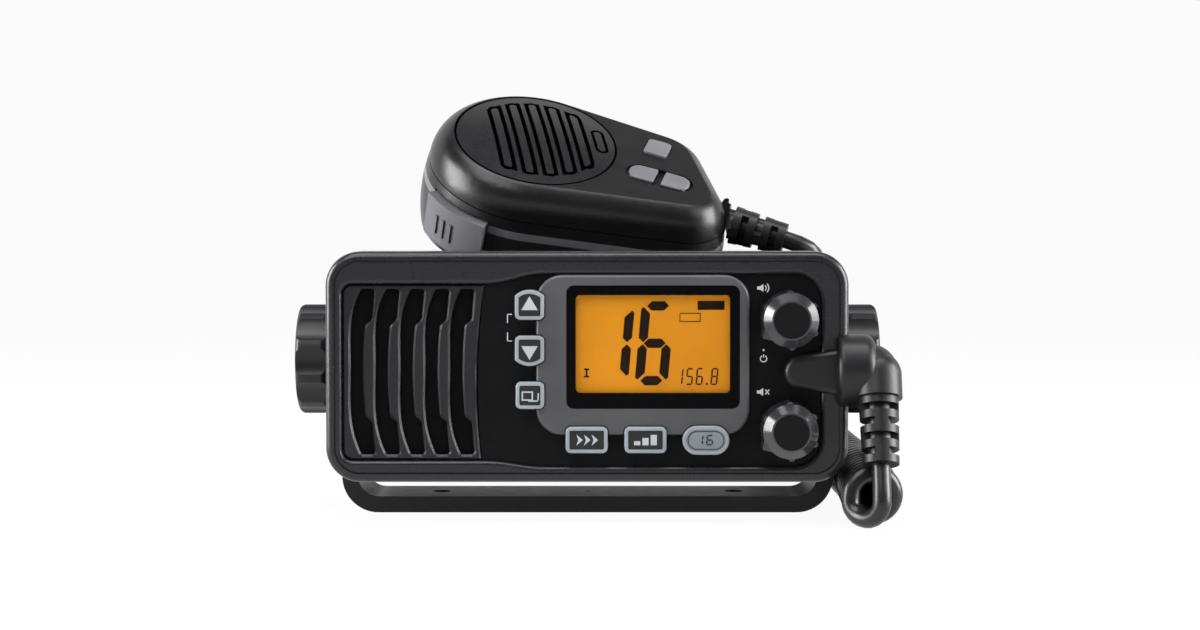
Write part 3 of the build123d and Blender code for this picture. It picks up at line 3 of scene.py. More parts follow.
import math
import bmesh
import bpy
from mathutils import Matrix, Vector


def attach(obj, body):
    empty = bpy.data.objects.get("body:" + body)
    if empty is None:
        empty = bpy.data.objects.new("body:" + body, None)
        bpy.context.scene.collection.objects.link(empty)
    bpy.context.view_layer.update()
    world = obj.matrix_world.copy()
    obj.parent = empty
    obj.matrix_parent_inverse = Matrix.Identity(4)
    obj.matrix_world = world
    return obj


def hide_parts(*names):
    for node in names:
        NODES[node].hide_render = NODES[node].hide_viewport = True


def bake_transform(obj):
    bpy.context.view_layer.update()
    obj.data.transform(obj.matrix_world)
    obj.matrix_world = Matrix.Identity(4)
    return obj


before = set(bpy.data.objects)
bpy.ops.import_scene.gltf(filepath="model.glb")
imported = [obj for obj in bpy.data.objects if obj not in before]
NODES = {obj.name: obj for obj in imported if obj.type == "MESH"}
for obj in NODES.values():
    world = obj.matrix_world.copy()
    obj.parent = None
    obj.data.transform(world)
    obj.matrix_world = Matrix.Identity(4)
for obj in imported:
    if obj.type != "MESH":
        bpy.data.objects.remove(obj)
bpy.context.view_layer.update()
scene = bpy.context.scene
MM = 0.001

# places of faces on the CAD model, in millimetres
TILT_Z = 45.8            # height of the front panel's centre
LCD_FACE = -43.68
FASCIA_FACE = -43.0
KEY_INSET_FACE = -46.25
FACE_DEPTH = 0.03        # half the depth in which a key's sunk face is looked for

# microphone's own frame
MIC_CENTRE = (-16.3, 15.0, 113.488)
MIC_X = Vector((0.953136, -0.1372, -0.269646))
MIC_Y = Vector((0.258961, 0.830811, 0.492638))
MIC_NORMAL = (0.156434, -0.539379, 0.827405)

# slots of the microphone's disc, painted black as shade
MIC_ACROSS = (0.9732, 0.2268, -0.0362)   # square to the slots
MIC_DOME = 2.391         # fall of the disc by the square of the distance, per metre
SLOT_SHADE_DEPTH = 1.15        # deeper than this, the disc is painted black as shade
SLOT_PITCH = 6.3
SLOT_SHIFT = 11.1
# half width and reach of the painted slot shade, wider than the cut slots
SLOT_SHADE_HALF, SLOT_SHADE_REACH = 2.5, 21.2
BAR_HALF, BAR_REACH = 1.15, 20.2
SLOTS_FROM, SLOTS_TO = -13.8, 17.2
# ring round the disc painted dark as shade in the recess between disc and housing
GROOVE_SHADE_FROM, GROOVE_SHADE_TO = 24.9, 25.75
BAND_LOW, BAND_HIGH = -16.4, -13.9

# clear part of the display window: centre, half width and height inside its corners
VIEW_X, VIEW_Z = 19.05, TILT_Z + 6.7
VIEW_HALF_W, VIEW_HALF_H, VIEW_CORNER = 21.1, 12.95, 1.25

# camera, worked out from the photograph
FOCAL_LENGTH = 72.7
CAMERA_PLACE = (3.75, -745.0, 87.8)
CAMERA_DOWN = 2.197      # degrees below the horizon


def mm(*p):
    """Point given in millimetres, in metres."""
    return Vector(p) * MM


def add_mesh(name, bm):
    """Object in the scene from mesh code."""
    me = bpy.data.meshes.new(name)
    bm.to_mesh(me)
    bm.free()
    ob = bpy.data.objects.new(name, me)
    scene.collection.objects.link(ob)
    return ob


# ------------------------------------------------------------------ camera
cam = bpy.data.cameras.new("camera")
cam.lens = FOCAL_LENGTH
cam.sensor_width = 36.0
cam.clip_start = 0.05
cam.clip_end = 20.0
camera = bpy.data.objects.new("camera", cam)
scene.collection.objects.link(camera)
camera.location = mm(*CAMERA_PLACE)
camera.rotation_euler = (math.radians(90 - CAMERA_DOWN), 0, 0)
scene.camera = camera


# ------------------------------------------------------------------ cord
WIRE_R = 2.7
COIL_R = 9.0
PITCH = 6.0
PER_TURN = 14
HELIX_SPREAD = 0.12      # the spline runs a little inside its points
LEAD = [
    (83.9, -56.0, 18.6), (83.9, -57.9, 13.5), (83.9, -59.2, 9.9), (83.8, -59.6, 6.2), (81.5, -57.0, 3.0),
    (78.1, -53.1, 3.0), (75.8, -50.6, 5.9),
]
COIL_ROUTE = [
    (82.2, -50.5, 9.2), (82.6, -36, 9.2), (84, -16, 9.2), (84, 38, 9.3), (79, 80, 13),
    (50, 97, 30), (16, 98, 56), (-7, 88, 80.6), (-8, 58, 81.2), (-7.4, 43.5, 81.1),
]
TAIL_ROUTE = [
    (-2.8, 34.5, 75.2), (5.5, 26.5, 74.9), (19, 25.2, 74.9), (36, 30.5, 74.9), (51, 38.5, 74.9),
    (64, 36.5, 74.9), (71, 25.5, 75.0), (72, 14.3, 75.3), (68.89, 8.16, 80.24), (61.17, 9.28, 82.42),
]


def nurbs(name, points):
    """Curve object with one open NURBS spline."""
    cu = bpy.data.curves.new(name, "CURVE")
    cu.dimensions = "3D"
    sp = cu.splines.new("NURBS")
    sp.points.add(len(points) - 1)
    for pt, p in zip(sp.points, points):
        pt.co = (p[0] * MM, p[1] * MM, p[2] * MM, 1.0)
    sp.order_u = 3
    sp.use_endpoint_u = True
    sp.resolution_u = 24
    ob = bpy.data.objects.new(name, cu)
    scene.collection.objects.link(ob)
    return ob


def tube_mesh(ob):
    """Mesh of a curve: its line where it has no bevel, else its tube."""
    dg = bpy.context.evaluated_depsgraph_get()
    dg.update()
    return bpy.data.meshes.new_from_object(ob.evaluated_get(dg))


def centreline(ob):
    """Points that the spline follows, in millimetres."""
    me = tube_mesh(ob)
    pts = [v.co / MM for v in me.vertices]
    bpy.data.meshes.remove(me)
    return pts


def helix_points(route, radius, pitch, per_turn, phase):
    """Right-handed helix round a route, from its start to its end."""
    lengths = [0.0]
    for a, b in zip(route, route[1:]):
        lengths.append(lengths[-1] + (b - a).length)
    total = lengths[-1]
    count = int(total / pitch * per_turn)
    out = []
    normal = Vector((0, 0, 1))
    k = 0
    for i in range(count + 1):
        s = total * i / count
        while k < len(lengths) - 2 and lengths[k + 1] < s:
            k += 1
        f = (s - lengths[k]) / max(1e-9, lengths[k + 1] - lengths[k])
        p = route[k].lerp(route[k + 1], f)
        tangent = (route[k + 1] - route[k]).normalized()
        normal = (normal - tangent * normal.dot(tangent)).normalized()
        side = tangent.cross(normal)
        a = phase + 2 * math.pi * i / per_turn
        out.append(p + radius * (math.cos(a) * normal + math.sin(a) * side))
    return out


guide = nurbs("coil_guide", COIL_ROUTE)
route = centreline(guide)
bpy.data.objects.remove(guide)
turns = helix_points(route, COIL_R - WIRE_R + HELIX_SPREAD, PITCH, PER_TURN, math.radians(-90))
cord_points = [Vector(p) for p in LEAD] + turns + [Vector(p) for p in TAIL_ROUTE]
line = nurbs("mic_cord_line", cord_points)
line.data.splines[0].resolution_u = 3
cord_path = [p * MM for p in centreline(line)]
line.data.bevel_depth = WIRE_R * MM
line.data.bevel_resolution = 5
cord = bpy.data.objects.new("mic_cord", tube_mesh(line))
scene.collection.objects.link(cord)
bpy.data.objects.remove(line)
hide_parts("mic_cord_lead", "mic_cord_coil", "mic_cord_tail")
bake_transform(cord)


# ------------------------------------------------------------------ materials
def srgb(*c):
    out = []
    for v in c:
        v = v / 255.0
        out.append(v / 12.92 if v <= 0.04045 else ((v + 0.055) / 1.055) ** 2.4)
    return (*out, 1.0)


class Mat:
    """Small helper round a node material."""

    def __init__(self, name, color, rough=0.5, metal=0.0, spec=0.5):
        self.m = bpy.data.materials.new(name)
        self.m.use_nodes = True
        self.t = self.m.node_tree
        self.b = self.t.nodes["Principled BSDF"]
        self.b.inputs["Base Color"].default_value = color
        self.b.inputs["Roughness"].default_value = rough
        self.b.inputs["Metallic"].default_value = metal
        self.b.inputs["Specular IOR Level"].default_value = spec
        self.color = color
        self.color_out = None
        self.bump_in = None

    def node(self, kind, **props):
        n = self.t.nodes.new(kind)
        for k, v in props.items():
            setattr(n, k, v)
        return n

    def link(self, a, b):
        self.t.links.new(a, b)

    def coords(self):
        return self.node("ShaderNodeTexCoord").outputs["Object"]

    def noise(self, scale, detail=3.0, rough=0.5, stretch=None):
        n = self.node("ShaderNodeTexNoise")
        n.inputs["Scale"].default_value = scale
        n.inputs["Detail"].default_value = detail
        n.inputs["Roughness"].default_value = rough
        src = self.coords()
        if stretch:
            mp = self.node("ShaderNodeMapping")
            mp.inputs["Scale"].default_value = stretch
            self.link(src, mp.inputs["Vector"])
            src = mp.outputs["Vector"]
        self.link(src, n.inputs["Vector"])
        return n.outputs["Fac"]

    def ramp(self, fac, stops):
        r = self.node("ShaderNodeValToRGB")
        els = r.color_ramp.elements
        while len(els) > 1:
            els.remove(els[-1])
        els[0].position, els[0].color = stops[0]
        for pos, col in stops[1:]:
            e = els.new(pos)
            e.color = col
        self.link(fac, r.inputs["Fac"])
        return r.outputs["Color"]

    def set_color(self, out):
        self.color_out = out
        self.link(out, self.b.inputs["Base Color"])

    def vary(self, scale, amount, detail=3.0):
        """Colour mottling by a noise."""
        f = self.noise(scale, detail)
        lo = tuple(v * (1 - amount) for v in self.color[:3]) + (1,)
        hi = tuple(min(1.0, v * (1 + amount)) for v in self.color[:3]) + (1,)
        self.set_color(self.ramp(f, [(0.35, lo), (0.65, hi)]))
        return self

    def rough_vary(self, scale, low, high):
        mr = self.node("ShaderNodeMapRange")
        mr.inputs["From Min"].default_value = 0.3
        mr.inputs["From Max"].default_value = 0.7
        mr.inputs["To Min"].default_value = low
        mr.inputs["To Max"].default_value = high
        self.link(self.noise(scale, 2.0), mr.inputs["Value"])
        self.link(mr.outputs["Result"], self.b.inputs["Roughness"])
        return self

    def bump(self, scale, strength, distance, detail=2.0, stretch=None, source=None):
        """Relief from a noise, or from a given height."""
        bp = self.node("ShaderNodeBump")
        bp.inputs["Strength"].default_value = strength
        bp.inputs["Distance"].default_value = distance
        self.link(source or self.noise(scale, detail, 0.55, stretch), bp.inputs["Height"])
        if self.bump_in is not None:
            self.link(self.bump_in.outputs["Normal"], bp.inputs["Normal"])
        self.link(bp.outputs["Normal"], self.b.inputs["Normal"])
        self.bump_in = bp
        return self

    def math(self, operation, a, b=None):
        n = self.node("ShaderNodeMath", operation=operation)
        for socket, value in zip(n.inputs, (a, b)):
            if isinstance(value, (int, float)):
                socket.default_value = value
            elif value is not None:
                self.link(value, socket)
        return n.outputs[0]

    def along(self, direction, origin):
        """Distance along a direction from an origin given in millimetres, in metres."""
        n = self.node("ShaderNodeVectorMath", operation="DOT_PRODUCT")
        self.link(self.coords(), n.inputs[0])
        n.inputs[1].default_value = direction
        return self.math("SUBTRACT", n.outputs["Value"], mm(*origin).dot(Vector(direction)))

    def apart(self, origin):
        """Distance from an origin given in millimetres, in metres."""
        n = self.node("ShaderNodeVectorMath", operation="DISTANCE")
        self.link(self.coords(), n.inputs[0])
        n.inputs[1].default_value = mm(*origin)
        return n.outputs["Value"]

    def dull(self, mask, spec):
        """Reflection of a given strength, and none where a mask is 1."""
        shine = self.math("MULTIPLY", self.math("SUBTRACT", 1.0, mask), spec)
        self.link(shine, self.b.inputs["Specular IOR Level"])

    def between(self, value, low, high):
        """1 where a value in metres lies between two limits in millimetres."""
        above = self.math("GREATER_THAN", value, low * MM)
        return self.math("MULTIPLY", above, self.math("LESS_THAN", value, high * MM))

    def paint(self, mask, color):
        """Colour laid over the base colour where a mask is 1."""
        mix = self.node("ShaderNodeMix", data_type="RGBA")
        self.link(mask, mix.inputs["Factor"])
        if self.color_out is None:
            mix.inputs["A"].default_value = self.color
        else:
            self.link(self.color_out, mix.inputs["A"])
        mix.inputs["B"].default_value = color
        self.set_color(mix.outputs["Result"])
        return self


def plastic(name, color, rough=0.5, grain=900.0, strength=0.35, dist=0.00012, spec=0.4):
    """Moulded plastic or rubber with a fine grain."""
    m = Mat(name, color, rough, spec=spec)
    m.vary(60.0, 0.08)
    m.rough_vary(260.0, rough - 0.02, rough + 0.03)
    m.bump(grain, strength, dist, detail=3.0)
    return m


def steel(name, color, rough):
    """Metal with fine brushing."""
    m = Mat(name, color, rough, metal=1.0)
    m.vary(90.0, 0.08)
    m.bump(1400.0, 0.12, 0.00003, stretch=(1, 1, 8))
    return m


PANEL_BLACK = srgb(25, 25, 28)
KEY_GREY = srgb(130, 136, 140)
KEY_BLACK = srgb(27, 30, 29)
PRINT_WHITE = srgb(196, 198, 200)


def key_material(name, face):
    """Grey rubber key whose sunk face has its own colour."""
    m = plastic(name, KEY_GREY, 0.42, 1500.0, 0.2, 0.00005)
    depth = m.along((0, 1, 0), (0, KEY_INSET_FACE, 0))
    return m.paint(m.between(depth, -FACE_DEPTH, FACE_DEPTH), face).m


def mic_disc_material():
    """Domed disc whose slots are painted black as shade, widened by painted shade over the land beside each
    cut slot, with a bar of the disc's own colour along the middle of each.
    """
    m = plastic("mic_grille_plastic", srgb(20, 20, 22), 0.28, 1500.0, 0.2, 0.00005)
    apart = m.apart(MIC_CENTRE)
    fall = m.math("MULTIPLY", m.math("MULTIPLY", apart, apart), MIC_DOME)
    sink = m.math("ADD", m.along(MIC_NORMAL, MIC_CENTRE), fall)
    # painted shade: the slot's walls and floor, below the dome, are painted black
    sunk = m.math("LESS_THAN", sink, SLOT_SHADE_DEPTH * MM)
    place = m.along(MIC_ACROSS, MIC_CENTRE)
    fold = m.math("PINGPONG", m.math("ADD", place, SLOT_SHIFT * MM), SLOT_PITCH / 2 * MM)

    def strip(half, reach):
        near = m.math("LESS_THAN", apart, reach * MM)
        return m.math("MULTIPLY", m.math("LESS_THAN", fold, half * MM), near)

    # painted shade: a black band beside each slot, wider than the cut slot, leaving the bar in the middle in
    # the disc's colour
    gap = m.math("MULTIPLY", strip(SLOT_SHADE_HALF, SLOT_SHADE_REACH), m.between(place, SLOTS_FROM, SLOTS_TO))
    outline = m.math("MULTIPLY", gap, m.math("SUBTRACT", 1.0, strip(BAR_HALF, BAR_REACH)))
    # all painted slot shade, black and without reflection
    slot = m.math("MAXIMUM", sunk, outline)
    m.dull(slot, 0.45)
    return m.paint(slot, srgb(4, 4, 5)).m


def window_material():
    """Clear window with a black border printed on its back."""
    m = Mat("window_glass", srgb(4, 4, 5), 0.12, spec=0.05)
    m.bump(40.0, 0.02, 0.00005)
    x = m.math("ABSOLUTE", m.along((1, 0, 0), (VIEW_X, 0, 0)))
    z = m.math("ABSOLUTE", m.along((0, 0, 1), (0, 0, VIEW_Z)))
    over_x = m.math("MAXIMUM", m.math("SUBTRACT", x, VIEW_HALF_W * MM), 0.0)
    over_z = m.math("MAXIMUM", m.math("SUBTRACT", z, VIEW_HALF_H * MM), 0.0)
    square = m.math("ADD", m.math("MULTIPLY", over_x, over_x), m.math("MULTIPLY", over_z, over_z))
    border = m.math("GREATER_THAN", m.math("SQRT", square), VIEW_CORNER * MM)
    m.link(m.math("MAXIMUM", border, 0.06), m.b.inputs["Alpha"])
    return m.m


def mic_material(name, band):
    """Microphone housing: a grey band below the seam at the back, and in front a dark ring painted round the
    disc as the shade in its recess.
    """
    m = plastic(name, srgb(14, 14, 16), 0.3, 1100.0, 0.4, 0.00009)
    height = m.along(MIC_NORMAL, MIC_CENTRE)
    if band:
        return m.paint(m.between(height, BAND_LOW, BAND_HIGH), srgb(96, 96, 99)).m
    # painted shade: a dark ring round the disc, without reflection
    round_disc = m.between(m.apart(MIC_CENTRE), GROOVE_SHADE_FROM, GROOVE_SHADE_TO)
    groove_shade = m.math("MULTIPLY", round_disc, m.between(height, -1.9, 0.2))
    m.dull(groove_shade, 0.4)
    return m.paint(groove_shade, srgb(3, 3, 4)).m


def lcd_material():
    """Amber display with a weak glow of its own."""
    amber = srgb(208, 134, 24)
    m = Mat("lcd_amber", amber, 0.4, spec=0.15)
    m.vary(35.0, 0.04)
    m.b.inputs["Emission Color"].default_value = amber
    m.b.inputs["Emission Strength"].default_value = 0.03
    return m.m


def nickel_material():
    """Plated socket with the thread's rings as relief."""
    m = steel("nickel", srgb(198, 194, 184), 0.2)
    wave = m.node("ShaderNodeTexWave", bands_direction="Y")
    wave.inputs["Scale"].default_value = 340.0
    m.link(m.coords(), wave.inputs["Vector"])
    m.bump(0, 0.6, 0.0003, source=wave.outputs["Fac"])
    return m.m


M = {
    "panel": plastic("panel_plastic", PANEL_BLACK, 0.28, 1500.0, 0.35, 0.00007, spec=0.45).m,
    "fascia": plastic("fascia_plastic", srgb(12, 12, 14), 0.5, 1700.0, 0.6, 0.0001, spec=0.1).m,
    "grille": plastic("grille_plastic", srgb(26, 26, 29), 0.3, 1400.0, 0.6, 0.00012, spec=0.35).m,
    "island": plastic("island_plastic", srgb(66, 66, 69), 0.34, 1700.0, 0.3, 0.00006, spec=0.5).m,
    "case": plastic("case_paint", srgb(20, 20, 23), 0.42, 700.0, 0.4, 0.00012).m,
    "bracket": plastic("bracket_paint", srgb(17, 17, 19), 0.4, 700.0, 0.35, 0.0001, spec=0.3).m,
    "side_knob": plastic("side_knob_plastic", srgb(19, 19, 22), 0.36, 1500.0, 0.3, 0.00008).m,
    "mic": mic_material("mic_plastic", False),
    "mic_back": mic_material("mic_back_plastic", True),
    "mic_disc": mic_disc_material(),
    "mic_key": plastic("mic_key_plastic", srgb(100, 100, 103), 0.42, 1600.0, 0.2, 0.00005).m,
    "talk": plastic("talk_plastic", srgb(92, 92, 96), 0.44, 1500.0, 0.25, 0.00006).m,
    "rubber": plastic("black_rubber", srgb(17, 17, 20), 0.4, 900.0, 0.3, 0.00008).m,
    "grey_rubber": plastic("grey_rubber", srgb(86, 88, 90), 0.7, 900.0, 0.2, 0.00005).m,
    "key": key_material("key_plastic", KEY_BLACK),
    "key_sixteen": key_material("key_sixteen_plastic", srgb(112, 119, 124)),
    "knob": plastic("knob_plastic", srgb(36, 36, 39), 0.2, 1500.0, 0.1, 0.00003, spec=0.8).m,
    "cap": plastic("cap_plastic", srgb(10, 10, 12), 0.5, 1500.0, 0.3, 0.00006, spec=0.15).m,
    "cord": plastic("cord_jacket", srgb(19, 19, 22), 0.32, 600.0, 0.2, 0.00006, spec=0.5).m,
    "board": plastic("board_green", srgb(18, 84, 48), 0.35, 500.0, 0.2, 0.00005).m,
    "cone": plastic("cone_paper", srgb(12, 12, 13), 0.9, 900.0, 0.5, 0.0001, spec=0.1).m,
    "magnet": plastic("magnet_iron", srgb(58, 57, 56), 0.55, 500.0, 0.3, 0.00006).m,
    "guide": plastic("light_guide", srgb(226, 222, 208), 0.35, 700.0, 0.1, 0.00003).m,
    "steel": steel("brushed_steel", srgb(176, 176, 178), 0.32).m,
    "nickel": nickel_material(),
    "lcd": lcd_material(),
    "window": window_material(),
    "print": plastic("white_print", PRINT_WHITE, 0.6, 1500.0, 0.1, 0.00003).m,
    "segment": plastic("lcd_segment", srgb(32, 20, 6), 0.7, 1500.0, 0.05, 0.00002, spec=0.1).m,
    "key_print": plastic("key_print", srgb(158, 164, 168), 0.6, 1500.0, 0.1, 0.00003).m,
    "key_mark": plastic("key_mark", srgb(40, 43, 46), 0.6, 1500.0, 0.1, 0.00003).m,
}
cord.data.materials.append(M["cord"])

BY_NODE = {
    "mounting_bracket": "bracket", "bracket_pads": "rubber", "knob_washers": "rubber",
    "bracket_knob_left": "side_knob", "bracket_knob_right": "side_knob", "knob_stud_left": "steel",
    "knob_stud_right": "steel", "rear_chassis": "case", "case_screws": "steel", "front_gasket": "rubber",
    "front_panel": "panel", "fascia_plate": "fascia", "speaker_grille": "grille", "speaker_membrane": "cone",
    "speaker_frame": "magnet", "speaker_cone": "cone", "display_bezel": "island", "display_window": "window",
    "lcd_panel": "lcd", "lcd_backlight": "guide", "keypad_mat": "grey_rubber", "front_circuit_board": "board",
    "main_circuit_board": "board", "rf_shield": "steel", "volume_control": "steel",
    "squelch_control": "steel",
    "antenna_connector": "nickel", "power_gland": "rubber", "speaker_gland": "rubber", "cord_boot": "rubber",
    "cord_strain_relief": "rubber", "mic_cord_lead": "cord", "mic_cord_coil": "cord", "mic_cord_tail": "cord",
    "key_up": "key", "key_down": "key", "key_watch": "key", "key_scan": "key", "key_channel": "key",
    "key_sixteen": "key_sixteen", "volume_knob": "knob", "volume_knob_cap": "cap", "volume_shaft": "steel",
    "squelch_knob": "knob", "squelch_knob_cap": "cap", "squelch_shaft": "steel", "mic_front_shell": "mic",
    "mic_back_shell": "mic_back", "mic_seam_gasket": "rubber", "mic_grille": "mic_disc",
    "mic_capsule": "steel",
    "mic_circuit_board": "board", "mic_hanger_stud": "steel", "mic_strain_relief": "rubber",
    "mic_screws": "steel", "mic_key_mat": "grey_rubber", "ptt_lever": "talk", "mic_key_single": "mic_key",
    "mic_key_left": "mic_key", "mic_key_right": "mic_key",
}
for name, key in BY_NODE.items():
    slots = NODES[name].data.materials
    slots.clear()
    slots.append(M[key])


# ------------------------------------------------------------------ prints and display segments
def plates(name, outlines, back, thickness, material, body):
    """Thin plates facing the viewer, from outlines in panel coordinates (x, height above its centre)."""
    bm = bmesh.new()
    for outline in outlines:
        near = [bm.verts.new(mm(x, back - thickness, TILT_Z + z)) for x, z in outline]
        far = [bm.verts.new(mm(x, back, TILT_Z + z)) for x, z in outline]
        bm.faces.new(near)
        bm.faces.new(far[::-1])
        for i, _ in enumerate(outline):
            j = (i + 1) % len(outline)
            bm.faces.new((near[j], near[i], far[i], far[j]))
    bmesh.ops.triangulate(bm, faces=[f for f in bm.faces if len(f.verts) > 4])
    bmesh.ops.recalc_face_normals(bm, faces=bm.faces)
    ob = add_mesh(name, bm)
    ob.data.materials.append(M[material])
    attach(ob, body)


def box(x0, x1, z0, z1):
    return [(x0, z0), (x1, z0), (x1, z1), (x0, z1)]


def disc(x, z, r, count=24):
    return [(x + r * math.cos(2 * math.pi * i / count), z + r * math.sin(2 * math.pi * i / count))
            for i in range(count)]


def ring(shape_outer, shape_inner):
    """Quads between two outlines with as many points."""
    n = len(shape_outer)
    return [[shape_outer[i], shape_outer[(i + 1) % n], shape_inner[(i + 1) % n], shape_inner[i]]
            for i in range(n)]


def stadium(x, z, w, h, count=12):
    """Outline of a slot w long and h high."""
    r = h / 2
    out = []
    for side, start in ((1, -90), (-1, 90)):
        for i in range(count + 1):
            a = math.radians(start + 180 * i / count)
            out.append((x + side * (w / 2 - r) + r * math.cos(a), z + r * math.sin(a)))
    return out


def frame_of(x0, x1, z0, z1, t):
    return ring(box(x0, x1, z0, z1), box(x0 + t, x1 - t, z0 + t, z1 - t))


def arc_band(x, z, r, t, first, last, count=10):
    """Quads of a curved stroke."""
    quads = []
    for i in range(count):
        a = math.radians(first + (last - first) * i / count)
        b = math.radians(first + (last - first) * (i + 1) / count)
        quads.append([(x + r * math.cos(a), z + r * math.sin(a)), (x + r * math.cos(b), z + r * math.sin(b)),
                      (x + (r + t) * math.cos(b), z + (r + t) * math.sin(b)),
                      (x + (r + t) * math.cos(a), z + (r + t) * math.sin(a))])
    return quads


SEGMENTS = {"1": "bc", "5": "afgcd", "6": "afgedc", "8": "abcdefg"}


def digit(char, x, z, w, h, t, lean=0.09):
    """Seven-segment figure with its lower left corner at (x, z)."""
    v = t / 2
    gap = t * 0.1
    half = h / 2

    def across(height):
        left, right = v + gap, w - v - gap
        return [(left, height), (left + v, height + v), (right - v, height + v), (right, height),
                (right - v, height - v), (left + v, height - v)]

    def upright(side, middle, end):
        """From the middle of the figure to its top or bottom, with the outer corner drawn out."""
        out, up = (-1, 1)[side > 0], (-1, 1)[end > middle]
        return [(side, middle + up * gap), (side + out * v, middle + up * (gap + v)),
                (side + out * v, end - up * (gap + 0.5 * v)), (side + out * 0.5 * v, end - up * gap),
                (side - out * v, end - up * (gap + 1.5 * v)), (side - out * v, middle + up * (gap + v))]

    shapes = {"a": across(h - v), "g": across(half), "d": across(v)}
    for name, side, end in (("f", v, h - v), ("b", w - v, h - v), ("e", v, v), ("c", w - v, v)):
        out = upright(side - w / 2, half, end)
        shapes[name] = [(px + w / 2, pz) for px, pz in out]
    return [[(x + px + lean * pz, z + pz) for px, pz in shapes[s]] for s in SEGMENTS[char]]


def lcd_marks():
    """Channel number, frequency row and plain flags on the display."""
    out = digit("1", 3.9, -4.2, 8.0, 22.2, 2.7) + digit("6", 13.7, -5.3, 9.6, 24.4, 2.7)
    x = 25.6
    for char in "156":
        out += digit(char, x, -5.2, 2.0, 4.9, 0.42)
        x += 2.9
    out.append(box(x + 0.1, x + 0.7, -5.2, -4.6))
    out += digit("8", x + 1.4, -5.2, 2.0, 4.9, 0.42)
    out += [box(32.0, 39.8, 16.6, 19.2), box(-0.9, 0.6, -3.0, -2.5), box(-0.9, 0.6, -0.9, -0.4),
            box(-0.4, 0.1, -2.5, -0.9)]
    return out + frame_of(26.8, 32.9, 13.1, 15.7, 0.22)


plates("lcd_segments", lcd_marks(), LCD_FACE - 0.02, 0.04, "segment", "radio")


def speaker_cone(x, z):
    return [(x - 2.0, z - 0.45), (x - 1.2, z - 0.45), (x - 0.2, z - 1.15), (x - 0.2, z + 1.15),
            (x - 1.2, z + 0.45), (x - 2.0, z + 0.45)]


def volume_icon(x, z):
    """Speaker symbol with two waves."""
    waves = arc_band(x - 0.4, z, 0.85, 0.28, -45, 45) + arc_band(x - 0.4, z, 1.6, 0.28, -45, 45)
    return [speaker_cone(x, z)] + waves


def squelch_icon(x, z):
    """Speaker symbol with a cross."""
    return [speaker_cone(x, z),
            [(x + 0.3, z + 0.55), (x + 0.55, z + 0.8), (x + 1.65, z - 0.55), (x + 1.4, z - 0.8)],
            [(x + 0.3, z - 0.55), (x + 1.4, z + 0.8), (x + 1.65, z + 0.55), (x + 0.55, z - 0.8)]]


def power_icon(x, z):
    """Open ring with a bar in its gap."""
    return arc_band(x, z, 0.8, 0.28, -240, 60, 16) + [box(x - 0.15, x + 0.15, z + 0.3, z + 1.25)]


def corner_lines():
    """Two thin brackets beside the up and down keys."""
    t, left, right, low, high = 0.26, -23.2, -21.8, 7.4, 15.4
    upright = 2.6
    return [box(left, left + t, high - upright, high), box(left, right, high - t, high),
            box(left, left + t, low, low + upright), box(left, right, low, low + t)]


marks = volume_icon(51.3, 22.9) + squelch_icon(51.3, -7.3) + power_icon(51.2, 2.4) + [disc(51.2, 4.9, 0.3)]
plates("fascia_marks", marks + corner_lines(), FASCIA_FACE, 0.04, "print", "radio")


def key_marks(name, outlines, body, material="key_print"):
    plates(name, outlines, KEY_INSET_FACE, 0.05, material, body)


key_marks("up_mark", [[(-19.0, 16.6), (-14.2, 16.6), (-16.6, 20.6)]], "up_key")
key_marks("down_mark", [[(-19.0, 6.2), (-16.6, 2.2), (-14.2, 6.2)]], "down_key")
key_marks("watch_mark", frame_of(-18.9, -15.6, -9.6, -6.9, 0.4) + [box(-17.0, -13.9, -9.9, -9.5),
          box(-14.3, -13.9, -9.9, -7.4)], "watch_key")
chevrons = [[(x, -22.6), (x + 1.9, -21.0), (x, -19.4), (x + 0.6, -21.0)] for x in (-3.1, -0.9, 1.3)]
key_marks("scan_mark", chevrons, "scan_key")
bars = [box(13.6 + 2.4 * i, 15.4 + 2.4 * i, -22.5, -22.5 + 1.2 + 0.9 * i) for i in range(3)]
key_marks("channel_mark", bars, "channel_key")
sixteen = ring(stadium(34.4, -21.1, 10.6, 5.4), stadium(34.4, -21.1, 10.1, 4.9))
sixteen += digit("1", 31.6, -22.6, 1.9, 3.2, 0.5) + digit("6", 34.3, -22.6, 2.1, 3.2, 0.5)
key_marks("sixteen_mark", sixteen, "sixteen_key", "key_mark")


